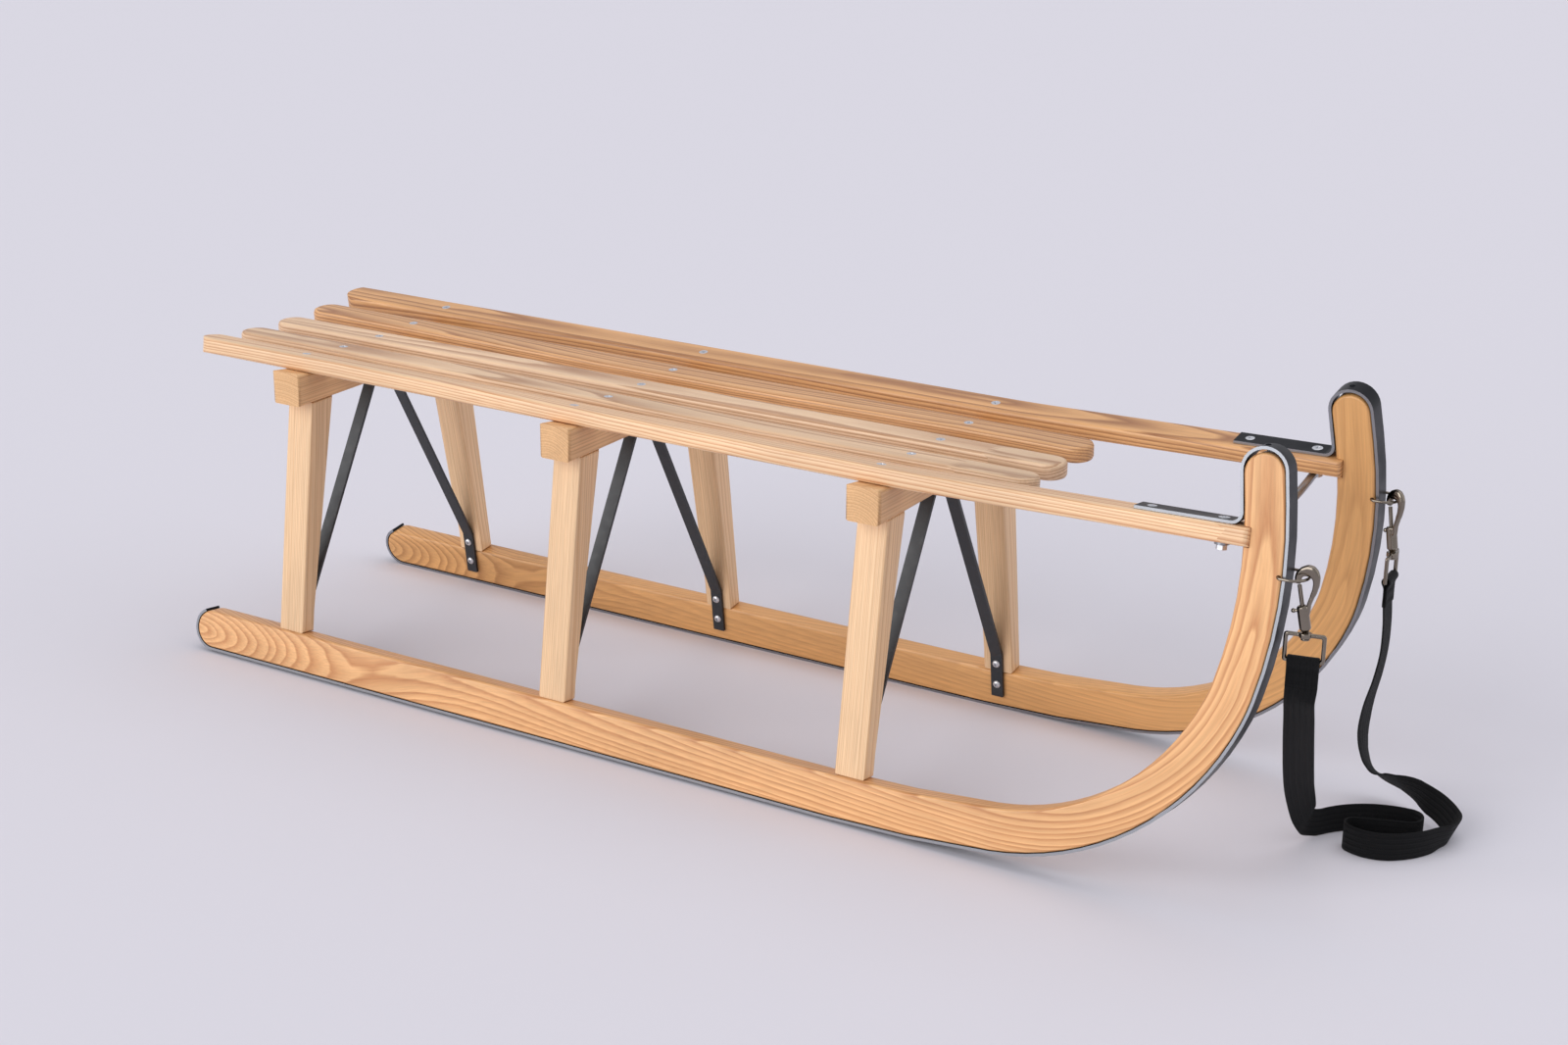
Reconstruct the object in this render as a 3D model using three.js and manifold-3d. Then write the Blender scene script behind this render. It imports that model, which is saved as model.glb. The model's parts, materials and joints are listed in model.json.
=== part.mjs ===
// A wooden sledge with steel-shod runners, a slatted seat and a webbing pull strap.
// Millimetres, +X forward to the horns, +Y to the sledge's left, +Z up.
import * as THREE from 'three';
import { mergeVertices } from 'three/addons/utils/BufferGeometryUtils.js';
import Module from 'manifold-3d';

const wasm = await Module();
wasm.setup();

// Clearances
const fit = 0.3;
const overrun = 6;
const weldTolerance = 0.0001;

// Trestles, measured from the middle one
const trestleSpacing = 312;
const leanAngle = THREE.MathUtils.degToRad(8);
const innerFoot = 139.6;

// Runners: the arcs follow the steel's outer line, with sweeps in degrees,
// and the horn's rise is measured from the undersides of the outer slats
const runnerWidth = 20.8;
const runnerDepth = 37;
const hornDepth = 33;
const runnerRear = 433;
const straightEnd = 294.8;
const hornEntryRadius = 1454;
const hornLowRadius = 243.4;
const hornMidRadius = 175;
const hornHighRadius = 408;
const hornArcs = [
	{ radius: hornEntryRadius, sweep: 6.1 },
	{ radius: hornLowRadius, sweep: 63.4 },
	{ radius: hornMidRadius, sweep: 6.5 },
	{ radius: hornHighRadius, sweep: 22.2 },
];
const hornRise = 86.2;
const runnerEase = 2.2;
const arcStep = 4;

// Steel shoe strip
const stripThickness = 2.5;
const stripInset = 1.1;
const stripNoseEnd = THREE.MathUtils.degToRad(115);
const noseNailPlace = THREE.MathUtils.degToRad(150);
const stripTopLift = 2.4;
const stripBendRadius = 9.5;
const stripLap = 71;
const noseStep = 12;

// Seat slats
const slatWidth = 32;
const slatThickness = 15;
const slatEase = 3.4;
const slatPitch = 53.75;
const slatRear = 438;
const innerSlatFront = 431;
const slatHousing = 5.2;
const seatHeight = 296.8;
const innerSlatTilt = THREE.MathUtils.degToRad(3);
const slatRise = THREE.MathUtils.degToRad(1.5);
const slatBendRadius = 2400;
const slatBendSteps = 4;

// Crossbars
const crossbarHalfLength = 136.7;
const crossbarWidth = 33;
const crossbarMidHeight = 21.6;
const crossbarEase = 3;

// Legs
const legWidth = 29.8;
const legSetback = 3.9;
const legFootThickness = runnerWidth - legSetback;
const legTopThickness = 29.7;
const legFootHeight = 62;
const legEase = 1.6;
const tenonWidth = 20;
const tenonThickness = 10;
const footTenonLength = 10;
const topTenonLength = 12;

// Flat steel braces
const braceWidth = 12;
const braceThickness = 3;
const braceLowEnd = 15;
const braceBend = 60;
const braceTopHalf = 15;
const braceScrewHeights = [28, 50];
const braceTopScrewOffset = 7;

// Screws, bolts and nails
const screwSides = 8;
const roundSides = 12;
const slatScrew = { headRadius: 4, headHeight: 2.4, shankRadius: 2, length: 26 };
const stripScrew = { headRadius: 3.8, headHeight: 2.2, shankRadius: 1.9, length: 15.5 };
const panScrew = { headRadius: 3.6, headHeight: 2.2, shankRadius: 1.7, length: 14 };
const braceTopScrew = { headRadius: 3.6, headHeight: 2.2, shankRadius: 1.7, length: 11 };
const nail = { headRadius: 2.2, headHeight: 0.8, shankRadius: 1, length: 14 };
const bowBolt = { headRadius: 4.4, headHeight: 2.4, shankRadius: 2.5, length: 27 };
const nutAcross = 8;
const nutHeight = 4;
const stripScrewInset = 11.5;
const bowSetback = 20.8;

// Front bow: a round bar with flattened ends under the outer slats
const bowBarRadius = 3.6;
const bowTabRadius = 6;
const bowTabThickness = 2.8;
const bowDip = 12;
const bowSteps = 12;

// Tow rings
const towHoleInset = 30.6;
const towHoleHeight = 287;
const towRingWire = 2.4;
const towRingEase = 0.7;
const towRingGap = 1.5;
const towRingReach = 7.5;
const towHoleRadius = 1.8;
const ringSteps = 10;

// Snap hooks: outline of the bight and spine in shares of the hook's width, from the ring's wire
const hookWidth = 20;
const hookThickness = 5.2;
const hookEase = 1.2;
const hookOutlineShares = [
	[-0.5, -0.275], [-0.55, -0.05], [-0.5, 0.18], [-0.33, 0.4], [-0.07, 0.54], [0.17, 0.52],
	[0.35, 0.36], [0.44, 0.12], [0.43, -0.2], [0.35, -0.525], [0.25, -0.8], [0.17, -1.05],
	[0.15, -1.4], [0.08, -1.65], [0, -1.4], [0.02, -1], [0.11, -0.65], [0.18, -0.4],
	[0.2, -0.15], [0.17, 0], [0.06, 0.08], [-0.08, 0.095], [-0.23, 0.06], [-0.3, -0.05],
	[-0.28, -0.275],
];
const hookTipDrop = 5.5;
const hookOffset = 0.9;
const barrelBottom = 43;
const barrelLength = 21;
const barrelRadius = 4.6;
const boltTilt = THREE.MathUtils.degToRad(12);
const boltRadius = 1.8;
const boltFoot = 12.6;
const boreFoot = 2.6;
const knobPlace = 17;
const knobReach = 7.6;
const knobRadius = 2.1;
const knobStemRadius = 1.3;
const boltTravel = 5;
const springWireRadius = 0.3;
const springRadius = 1.45;
const springTurns = 4;
const springStepsPerTurn = 8;
const springSides = 5;
const postRadius = 2.2;
const postFlangeRadius = 3.8;
const postFlangeHeight = 1.8;

// Swivel eyes
const eyeBossRadius = 5;
const eyeBossHeight = 4;
const swivelGap = 0.8;
const eyeInnerWidth = 26;
const eyeInnerHeight = 18;
const eyeWire = 3.4;
const eyeEase = 1.1;
const eyeCorner = 2.6;

// Webbing
const webWidth = 25;
const webThickness = 1.6;
const webEdgeShare = 0.12;
const sewnLength = 22;
const hangingGap = 0.9;

// Leashes: where each hook hangs on its ring and how it is turned, degrees about +Z
const LEASHES = {
	right: { ringAngle: 0, hookTurn: 0, eyeTurn: 12 },
	left: { ringAngle: -25, hookTurn: -32, eyeTurn: -88 },
};

// Routes of the hanging strap ends, from below the sewn loop down to the floor:
// points from the middle trestle, with the direction of the webbing's width
const RIGHT_DROP = [
	{ at: [684.2, -107, 185], width: [1, 0, 0] },
	{ at: [681, -94, 164], width: [1, 0.04, 0.02] },
	{ at: [676.4, -77, 140], width: [0.99, 0.1, 0.06] },
	{ at: [671.3, -58, 116], width: [0.97, 0.16, 0.12] },
	{ at: [666, -38, 92], width: [0.93, 0.2, 0.26] },
	{ at: [661, -17, 68], width: [0.84, 0.2, 0.5] },
	{ at: [658, 2, 46], width: [0.66, 0.12, 0.74] },
	{ at: [656.4, 18, 27], width: [0.38, 0.04, 0.92] },
	{ at: [656, 30, 16.5], width: [0.12, 0, 0.99] },
];
const LEFT_DROP = [
	{ at: [685.2, 102.7, 180], width: [0.04, -1, 0] },
	{ at: [685, 103, 155], width: [0.04, -1, 0] },
	{ at: [681.3, 103.5, 129], width: [0, -1, 0.04] },
	{ at: [675.3, 106.2, 104], width: [-0.04, -0.98, 0.1] },
	{ at: [671, 112.5, 79], width: [-0.04, -0.96, 0.2] },
	{ at: [670, 120.7, 57], width: [0.04, -0.94, 0.28] },
	{ at: [672, 126.5, 42], width: [0.06, -0.92, 0.34] },
	{ at: [677, 131, 31], width: [0.02, -0.86, 0.46] },
	{ at: [685, 133.6, 25.2], width: [-0.06, -0.76, 0.6] },
];

// The strap's lay on the floor: it stands on edge and is worked out as arcs.
// Radius, sweep in degrees (left turns are positive), how far the top leans outwards
// in degrees, and how high the lower edge is lifted.
const COIL_START = { x: 661, y: 41, heading: 58 };
const COIL_RUNS = [
	{ run: 6, lean: 0, lift: 0 },
	{ radius: 78, sweep: -56, lean: 0, lift: 0 },
	{ radius: 13, sweep: -162, lean: 0, lift: 0 },
	{ run: 43, lean: 0, lift: 0 },
	{ radius: 9, sweep: 134, lean: 0, lift: 0 },
	{ radius: 38, sweep: 60, lean: 0, lift: 0 },
	{ radius: 72, sweep: 32, lean: 6, lift: 0 },
	{ run: 15, lean: 20, lift: 0 },
	{ radius: 30, sweep: 64, lean: 26, lift: 0 },
	{ radius: 60, sweep: 28, lean: 12, lift: 5 },
	{ run: 14, lean: -8, lift: 9 },
	{ radius: 100, sweep: 10, lean: -34, lift: 12 },
	{ run: 4, lean: -40, lift: 13 },
];
const coilArcStep = 12;
const coilRunStep = 10;
const dropSteps = 27;

// Finishes
const FINISHES = {
	ash: { color: 0xd9a266, roughness: 0.55, metalness: 0 },
	paleAsh: { color: 0xe6c79a, roughness: 0.6, metalness: 0 },
	redAsh: { color: 0xc98d55, roughness: 0.55, metalness: 0 },
	blackSteel: { color: 0x24262b, roughness: 0.42, metalness: 0.6 },
	brightSteel: { color: 0xb9bcc0, roughness: 0.32, metalness: 1 },
	nickel: { color: 0x9c968c, roughness: 0.22, metalness: 1 },
	webbing: { color: 0x121317, roughness: 0.9, metalness: 0 },
};

const SIDES = [{ side: 'right', sign: -1 }, { side: 'left', sign: 1 }];
const TRESTLES = [
	{ place: 'rear', x: -trestleSpacing },
	{ place: 'middle', x: 0 },
	{ place: 'front', x: trestleSpacing },
];

// Sizes that follow from the ones above
const rad = THREE.MathUtils.degToRad;
const stripWidth = runnerWidth - 2 * stripInset;
const nutCorner = nutAcross / 2 / Math.cos(Math.PI / 6);
const woodInnerFace = -stripInset;
const boardMiddle = stripWidth / 2;
const woodBottom = stripThickness + fit;
const runnerTop = woodBottom + runnerDepth;
const noseCentre = -runnerRear + woodBottom + runnerDepth / 2;
const hornSweep = rad(hornArcs.reduce((sum, arc) => sum + arc.sweep, 0));
const hornRadius = hornDepth / 2;
const hornTop = seatHeight + hornRise;
const hornCentreHeight = hornTop - stripThickness - stripTopLift - hornRadius;

// Frames

function boardMatrix(sign) {
	return new THREE.Matrix4().makeRotationX(sign * leanAngle).setPosition(0, sign * innerFoot, 0);
}

// A point of one side's leaning board: n outwards from the steel's inner edge, u up the board
function boardPoint(x, n, u, sign) {
	return new THREE.Vector3(x, sign * n, u).applyMatrix4(boardMatrix(sign));
}

const seatEdge = boardPoint(0, boardMiddle, seatHeight, 1);
const outerSlatPlace = seatEdge.y;
const innerJunction = 1.5 * slatPitch;
const junctionHeight = seatEdge.z - (outerSlatPlace - innerJunction) * Math.tan(leanAngle);
const seatLow = junctionHeight - slatPitch * Math.tan(innerSlatTilt);
const crossbarUnderside = seatLow - crossbarMidHeight;

// Height of the slats' undersides above the floor, at a place across the seat
function seatSurface(y) {
	const across = Math.abs(y);
	if (across <= slatPitch / 2) return seatLow;
	if (across <= innerJunction) return seatLow + (across - slatPitch / 2) * Math.tan(innerSlatTilt);
	return seatEdge.z + (across - outerSlatPlace) * Math.tan(leanAngle);
}

const slatBendLength = slatBendRadius * Math.sin(slatRise);

// Rise of the outer slats towards the horns, from the front trestle on
function slatLift(x) {
	const past = x - trestleSpacing;
	if (past <= 0) return 0;
	if (past <= slatBendLength) return slatBendRadius - Math.sqrt(slatBendRadius ** 2 - past ** 2);
	const bendLift = slatBendRadius * (1 - Math.cos(slatRise));
	return bendLift + (past - slatBendLength) * Math.tan(slatRise);
}

// Solids

function solid(geometry) {
	const bare = geometry.clone();
	bare.deleteAttribute('normal');
	bare.deleteAttribute('uv');
	const welded = mergeVertices(bare, weldTolerance);
	const vertProperties = new Float32Array(welded.attributes.position.array);
	const triVerts = new Uint32Array(welded.index.array);
	return new wasm.Manifold(new wasm.Mesh({ numProp: 3, vertProperties, triVerts }));
}

function fromSolid(body) {
	const mesh = body.getMesh();
	const geometry = new THREE.BufferGeometry();
	geometry.setAttribute('position', new THREE.BufferAttribute(new Float32Array(mesh.vertProperties), 3));
	geometry.setIndex(new THREE.BufferAttribute(new Uint32Array(mesh.triVerts), 1));
	geometry.computeVertexNormals();
	return geometry;
}

function joined(geometries) {
	return fromSolid(geometries.map(solid).reduce((whole, piece) => whole.add(piece)));
}

function common(geometry, other) {
	return fromSolid(solid(geometry).intersect(solid(other)));
}

function cut(geometry, cutters) {
	if (cutters.length === 0) return geometry;
	return fromSolid(cutters.map(solid).reduce((whole, cutter) => whole.subtract(cutter), solid(geometry)));
}

function extruded(outline, depth, ease = 0, hole = null) {
	const shape = new THREE.Shape(outline.map(([x, y]) => new THREE.Vector2(x, y)));
	if (hole) shape.holes.push(new THREE.Path(hole.map(([x, y]) => new THREE.Vector2(x, y))));
	const geometry = new THREE.ExtrudeGeometry(shape, {
		depth: depth - 2 * ease,
		bevelEnabled: ease > 0,
		bevelThickness: ease,
		bevelSize: ease,
		bevelOffset: -ease,
		bevelSegments: ease > runnerEase ? 2 : 1,
	});
	return geometry.translate(0, 0, ease - depth / 2);
}

// Outline in x and z, extruded across the sledge
function sideExtruded(outline, depth, ease, hole) {
	return extruded(outline, depth, ease, hole).rotateX(Math.PI / 2);
}

// Outline in y and z, extruded along the sledge
function frontExtruded(outline, depth, ease) {
	const turn = new THREE.Matrix4().makeBasis(
		new THREE.Vector3(0, 1, 0), new THREE.Vector3(0, 0, 1), new THREE.Vector3(1, 0, 0));
	return extruded(outline, depth, ease).applyMatrix4(turn);
}

function box(width, depth, height, x, y, z) {
	return new THREE.BoxGeometry(width, depth, height).translate(x, y, z);
}

// A turned piece standing on z = 0 with its axis up
function turned(profile, sides = screwSides) {
	const geometry = new THREE.LatheGeometry(profile.map(([r, z]) => new THREE.Vector2(r, z)), sides);
	return geometry.rotateX(Math.PI / 2);
}

function cylinder(radius, bottom, top, sides = screwSides) {
	return turned([[0, bottom], [radius, bottom], [radius, top], [0, top]], sides);
}

// Countersunk screw with its head's face at z = 0 and its shank pointing down
function sunkScrew({ headRadius, headHeight, shankRadius, length }, grow = 0) {
	const bottom = -length - grow;
	return turned([
		[0, bottom],
		[shankRadius + grow, bottom],
		[shankRadius + grow, -headHeight],
		[headRadius + grow, 0],
		...(grow > 0 ? [[headRadius + grow, overrun], [0, overrun]] : [[0, 0]]),
	]);
}

// Pan-head screw pressed a little into its seat at z = 0, with its shank pointing down
function panHeadScrew({ headRadius, headHeight, shankRadius, length }) {
	return turned([
		[0, -length],
		[shankRadius, -length],
		[shankRadius, -fit],
		[headRadius, -fit],
		[headRadius, headHeight / 2],
		[headRadius - headHeight / 2, headHeight],
		[0, headHeight],
	]);
}

function shankHole({ shankRadius, length }) {
	return cylinder(shankRadius + fit, -length - fit, overrun);
}

function piece(name, geometry, finish, matrix = new THREE.Matrix4()) {
	const mesh = new THREE.Mesh(geometry, new THREE.MeshStandardMaterial(FINISHES[finish]));
	mesh.name = name;
	mesh.applyMatrix4(matrix);
	return mesh;
}

// The same geometry seen from another frame
function seenFrom(geometry, from, to) {
	const matrix = new THREE.Matrix4().copy(to).invert().multiply(from);
	return geometry.clone().applyMatrix4(matrix);
}

// Runner curve

function arcPoints(centreX, centreZ, radius, from, to, step) {
	const count = Math.max(2, Math.ceil(Math.abs(to - from) / rad(step)));
	return Array.from({ length: count + 1 }, (_, i) => {
		const angle = from + (to - from) * i / count;
		return [centreX + radius * Math.cos(angle), centreZ + radius * Math.sin(angle)];
	});
}

// Underside of the wood from the straight's end up the horn: place, heading and depth of the wood
function hornCurve() {
	const places = [{ x: straightEnd, u: woodBottom, heading: 0, depth: runnerDepth }];
	let heading = 0;
	let { x, u } = places[0];
	for (const arc of hornArcs) {
		const radius = arc.radius - woodBottom;
		const count = Math.ceil(arc.sweep / arcStep);
		for (let i = 1; i <= count; i += 1) {
			const angle = heading + rad(arc.sweep) * i / count;
			const place = {
				x: x + radius * (Math.sin(angle) - Math.sin(heading)),
				u: u - radius * (Math.cos(angle) - Math.cos(heading)),
				heading: angle,
				depth: THREE.MathUtils.lerp(runnerDepth, hornDepth, angle / hornSweep),
			};
			if (place.u + place.depth / 2 * Math.cos(angle) > hornCentreHeight) return places;
			places.push(place);
		}
		({ x, u } = places[places.length - 1]);
		heading += rad(arc.sweep);
	}
	return places;
}

const curve = hornCurve();
const curveEnd = curve[curve.length - 1];
const hornAngle = curveEnd.heading;

// Centre of the horn's rounded top
function hornCentre() {
	const startX = curveEnd.x - hornRadius * Math.sin(hornAngle);
	const startU = curveEnd.u + hornRadius * Math.cos(hornAngle);
	return { x: startX + (hornCentreHeight - startU) / Math.tan(hornAngle), u: hornCentreHeight };
}

const topCentre = hornCentre();

// The wood's upper and rear edge, from the straight's end to where the horn's top begins to round
function rearEdges() {
	const edge = curve.map(({ x, u, heading, depth }) => [
		x - depth * Math.sin(heading), u + depth * Math.cos(heading)]);
	return [...edge, [
		topCentre.x - hornRadius * Math.sin(hornAngle), topCentre.u + hornRadius * Math.cos(hornAngle)]];
}

function between(a, b, value, axis) {
	return a[1 - axis] + (b[1 - axis] - a[1 - axis]) * (value - a[axis]) / (b[axis] - a[axis]);
}

// Where the horn's rear edge stands at a height up the board
function hornRearAt(u) {
	const edge = rearEdges();
	const next = edge.findIndex((point) => point[1] > u);
	return between(edge[next - 1], edge[next], u, 1);
}

// Height of the wood's upper edge at a place along the runner
function woodTopAt(x) {
	const edge = rearEdges();
	const next = edge.findIndex((point) => point[0] > x);
	return next < 1 ? runnerTop : between(edge[next - 1], edge[next], x, 0);
}

const bowPlace = hornRearAt(seatHeight) - bowSetback;
const stripRearEnd = bowPlace - stripLap;
const stripScrewPlace = stripRearEnd + stripScrewInset;
const slatFront = hornRearAt(seatHeight + slatLift(bowPlace)) + slatHousing;
const towHolePlace = hornRearAt(towHoleHeight) + towHoleInset;

function runnerOutline() {
	const nose = arcPoints(noseCentre, woodBottom + runnerDepth / 2, runnerDepth / 2,
		Math.PI / 2, 1.5 * Math.PI, noseStep);
	const underside = curve.map((place) => [place.x, place.u]);
	const top = arcPoints(topCentre.x, topCentre.u, hornRadius,
		hornAngle - Math.PI / 2, hornAngle + Math.PI / 2, noseStep);
	const back = rearEdges().slice(0, -1).reverse();
	return [...nose, ...underside, ...top, ...back];
}

// Round corner between two straight runs
function filleted(before, corner, after, radius, step) {
	const a = new THREE.Vector2(before[0] - corner[0], before[1] - corner[1]).normalize();
	const b = new THREE.Vector2(after[0] - corner[0], after[1] - corner[1]).normalize();
	const half = Math.acos(THREE.MathUtils.clamp(a.dot(b), -1, 1)) / 2;
	const middle = a.clone().add(b).normalize().multiplyScalar(radius / Math.sin(half));
	const centre = [corner[0] + middle.x, corner[1] + middle.y];
	const start = new THREE.Vector2(corner[0], corner[1]).addScaledVector(a, radius / Math.tan(half));
	const end = new THREE.Vector2(corner[0], corner[1]).addScaledVector(b, radius / Math.tan(half));
	const from = Math.atan2(start.y - centre[1], start.x - centre[0]);
	let to = Math.atan2(end.y - centre[1], end.x - centre[0]);
	if (to - from > Math.PI) to -= 2 * Math.PI;
	if (from - to > Math.PI) to += 2 * Math.PI;
	return arcPoints(centre[0], centre[1], radius, from, to, step);
}

// Top of the outer slats, seen along the board
function slatTopAt(x) {
	return seatHeight + slatLift(x) + slatThickness;
}

// Where the strip's run down the horn would meet the slat's top
function stripCorner() {
	let x = hornRearAt(slatTopAt(bowPlace)) - fit;
	for (let i = 0; i < 3; i += 1) x = hornRearAt(slatTopAt(x)) - fit;
	return [x, slatTopAt(x) + fit];
}

// Side of the strip that faces the wood, from where it ends on the nose to its end on the slat
function stripRoute() {
	const noseRadius = runnerDepth / 2 + fit;
	const nose = arcPoints(noseCentre, woodBottom + runnerDepth / 2, noseRadius,
		stripNoseEnd, 1.5 * Math.PI, noseStep);
	const underside = curve.map((place) => [
		place.x + fit * Math.sin(place.heading), place.u - fit * Math.cos(place.heading)]);
	const liftX = stripTopLift * Math.cos(hornAngle);
	const liftU = stripTopLift * Math.sin(hornAngle);
	const top = arcPoints(topCentre.x + liftX, topCentre.u + liftU, hornRadius + fit,
		hornAngle - Math.PI / 2, hornAngle + Math.PI / 2, noseStep);
	const corner = stripCorner();
	const end = [stripRearEnd, slatTopAt(stripRearEnd) + fit];
	const bend = filleted(top[top.length - 1], corner, end, stripBendRadius, noseStep);
	return [...nose, ...underside, ...top, ...bend, end];
}

// Closed outline of a ribbon whose thickness lies to the right of its route
function ribbonOutline(route, thickness) {
	const normals = route.slice(1).map((point, i) => {
		const run = new THREE.Vector2(point[0] - route[i][0], point[1] - route[i][1]).normalize();
		return new THREE.Vector2(run.y, -run.x);
	});
	const far = route.map((point, i) => {
		const before = normals[Math.max(i - 1, 0)];
		const after = normals[Math.min(i, normals.length - 1)];
		const mitre = before.clone().add(after).normalize();
		const reach = thickness / mitre.dot(after);
		return [point[0] + mitre.x * reach, point[1] + mitre.y * reach];
	});
	return [...route, ...far.reverse()];
}

// Frames of the fasteners

function slatFrame(index) {
	const offset = index - 2;
	const sign = Math.sign(offset);
	if (Math.abs(offset) === 2) {
		return boardMatrix(sign).multiply(
			new THREE.Matrix4().makeTranslation(0, sign * boardMiddle, seatHeight));
	}
	const tilt = offset * innerSlatTilt;
	return new THREE.Matrix4().makeRotationX(tilt)
		.setPosition(0, offset * slatPitch, seatSurface(offset * slatPitch));
}

function slatScrewFrame(index, x) {
	return slatFrame(index).multiply(new THREE.Matrix4().makeTranslation(x, 0, slatThickness));
}

const SLAT_SCREW_FRAMES = [0, 1, 2, 3, 4].flatMap(
	(index) => TRESTLES.map(({ x }) => ({ index, x, frame: slatScrewFrame(index, x) })));

// On the strip's top where it lies on the slat, turned with the slat's rise
function stripTopFrame(sign, x) {
	const top = slatTopAt(x) + fit + stripThickness;
	return boardMatrix(sign)
		.multiply(new THREE.Matrix4().makeTranslation(x, sign * boardMiddle, top))
		.multiply(new THREE.Matrix4().makeRotationY(-slatRise));
}

// Seat of a pan-head screw on the brace, its shank pointing outwards
function braceScrewFrame(sign, x, u) {
	const face = woodInnerFace - fit - braceThickness;
	return boardMatrix(sign)
		.multiply(new THREE.Matrix4().makeTranslation(x, sign * face, u))
		.multiply(new THREE.Matrix4().makeRotationX(sign * Math.PI / 2));
}

function braceTopScrewFrame(x, y) {
	return new THREE.Matrix4().makeRotationX(Math.PI)
		.setPosition(x, y, crossbarUnderside - fit - braceThickness);
}

const BRACE_LOW_FRAMES = TRESTLES.flatMap(({ x }) => SIDES.flatMap(
	({ sign }) => braceScrewHeights.map((u) => ({ x, sign, frame: braceScrewFrame(sign, x, u) }))));
const BRACE_TOP_FRAMES = TRESTLES.flatMap(({ x }) => [-1, 1].map(
	(way) => ({ x, frame: braceTopScrewFrame(x, way * braceTopScrewOffset) })));

// Nails through the strip into the rounded nose, and over the horn
function noseNailFrame(sign) {
	const reach = runnerDepth / 2 + fit + stripThickness;
	return boardMatrix(sign)
		.multiply(new THREE.Matrix4().makeTranslation(
			noseCentre, sign * boardMiddle, woodBottom + runnerDepth / 2))
		.multiply(new THREE.Matrix4().makeRotationY(Math.PI / 2 - noseNailPlace))
		.multiply(new THREE.Matrix4().makeTranslation(0, 0, reach));
}

function hornNailFrame(sign) {
	const reach = hornRadius + fit + stripThickness;
	return boardMatrix(sign)
		.multiply(new THREE.Matrix4().makeTranslation(
			topCentre.x + stripTopLift * Math.cos(hornAngle), sign * boardMiddle,
			topCentre.u + stripTopLift * Math.sin(hornAngle)))
		.multiply(new THREE.Matrix4().makeRotationY(Math.PI / 2 - hornAngle))
		.multiply(new THREE.Matrix4().makeTranslation(0, 0, reach));
}

// Tow ring centre: level, in the cross hole of the horn
function towPoint(sign) {
	return boardPoint(towHolePlace, boardMiddle, towHoleHeight, sign);
}

function towHole(sign) {
	const hole = cylinder(towHoleRadius, -2 * runnerWidth, 2 * runnerWidth).rotateX(Math.PI / 2);
	const centre = towPoint(sign);
	return hole.translate(centre.x, centre.y, centre.z);
}

// Wooden pieces

function tenonBox(thickness, width, from, to, n, sign, x) {
	return box(width, thickness, to - from, x, sign * n, (from + to) / 2);
}

const tenonMiddle = woodInnerFace + legFootThickness / 2;

function footMortise(sign, x) {
	return tenonBox(tenonThickness + 2 * fit, tenonWidth + 2 * fit,
		runnerTop - footTenonLength - fit, runnerTop + overrun, tenonMiddle, sign, x);
}

function slatHousingCutter(sign) {
	const u = seatHeight + slatLift(bowPlace);
	const rear = hornRearAt(u) - overrun;
	const depth = slatHousing + fit + overrun;
	const height = slatThickness + 2 * fit;
	const lift = slatLift(slatFront) - slatLift(bowPlace);
	return box(depth, 2 * slatWidth, height + lift, rear + depth / 2, sign * boardMiddle,
		u + (slatThickness + lift) / 2);
}

function runner(side, sign) {
	const frame = boardMatrix(sign);
	const world = new THREE.Matrix4();
	const wood = sideExtruded(runnerOutline(), runnerWidth, runnerEase)
		.translate(0, sign * (woodInnerFace + runnerWidth / 2), 0);
	const nailHole = shankHole(nail);
	const cutters = [
		...TRESTLES.map(({ x }) => footMortise(sign, x)),
		slatHousingCutter(sign),
		seenFrom(towHole(sign), world, frame),
		seenFrom(nailHole, noseNailFrame(sign), frame),
		seenFrom(nailHole, hornNailFrame(sign), frame),
		...BRACE_LOW_FRAMES.filter((screw) => screw.sign === sign)
			.map((screw) => seenFrom(shankHole(panScrew), screw.frame, frame)),
	];
	return piece(`runner_${side}`, cut(wood, cutters), 'ash', frame);
}

function runnerStrip(side, sign) {
	const frame = boardMatrix(sign);
	const steel = sideExtruded(ribbonOutline(stripRoute(), stripThickness), stripWidth)
		.translate(0, sign * boardMiddle, 0);
	const nails = [noseNailFrame(sign), hornNailFrame(sign)]
		.map((nailFrame) => seenFrom(panHeadScrew(nail), nailFrame, frame));
	const cutters = [
		seenFrom(sunkScrew(stripScrew, fit), stripTopFrame(sign, stripScrewPlace), frame),
		seenFrom(sunkScrew(bowBolt, fit), stripTopFrame(sign, bowPlace), frame),
	];
	return piece(`runner_strip_${side}`, joined([cut(steel, cutters), ...nails]), 'brightSteel', frame);
}

// Plan of a slat: round rear end, and a round or square front end
function slatPlan(front, roundFront) {
	const half = slatWidth / 2;
	const rear = arcPoints(-slatRear + half, 0, half, Math.PI / 2, 1.5 * Math.PI, noseStep);
	const ahead = roundFront
		? arcPoints(front - half, 0, half, -Math.PI / 2, Math.PI / 2, noseStep)
		: [[front, -half], [front, half]];
	return [...rear, ...ahead];
}

// Side view of an outer slat, level and then bent up towards the horn
function risingSlatSide() {
	const steps = Array.from({ length: slatBendSteps + 1 },
		(_, i) => trestleSpacing + slatBendLength * i / slatBendSteps);
	const under = [-slatRear, ...steps, slatFront].map((x) => [x, slatLift(x)]);
	return [...under, ...under.map(([x, z]) => [x, z + slatThickness]).reverse()];
}

function outerSlatWood() {
	const plan = extruded(slatPlan(slatFront, false), 2 * crossbarWidth);
	return common(sideExtruded(risingSlatSide(), slatWidth, slatEase), plan);
}

function innerSlatWood() {
	return extruded(slatPlan(innerSlatFront, true), slatThickness, slatEase).translate(0, 0, slatThickness / 2);
}

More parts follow.
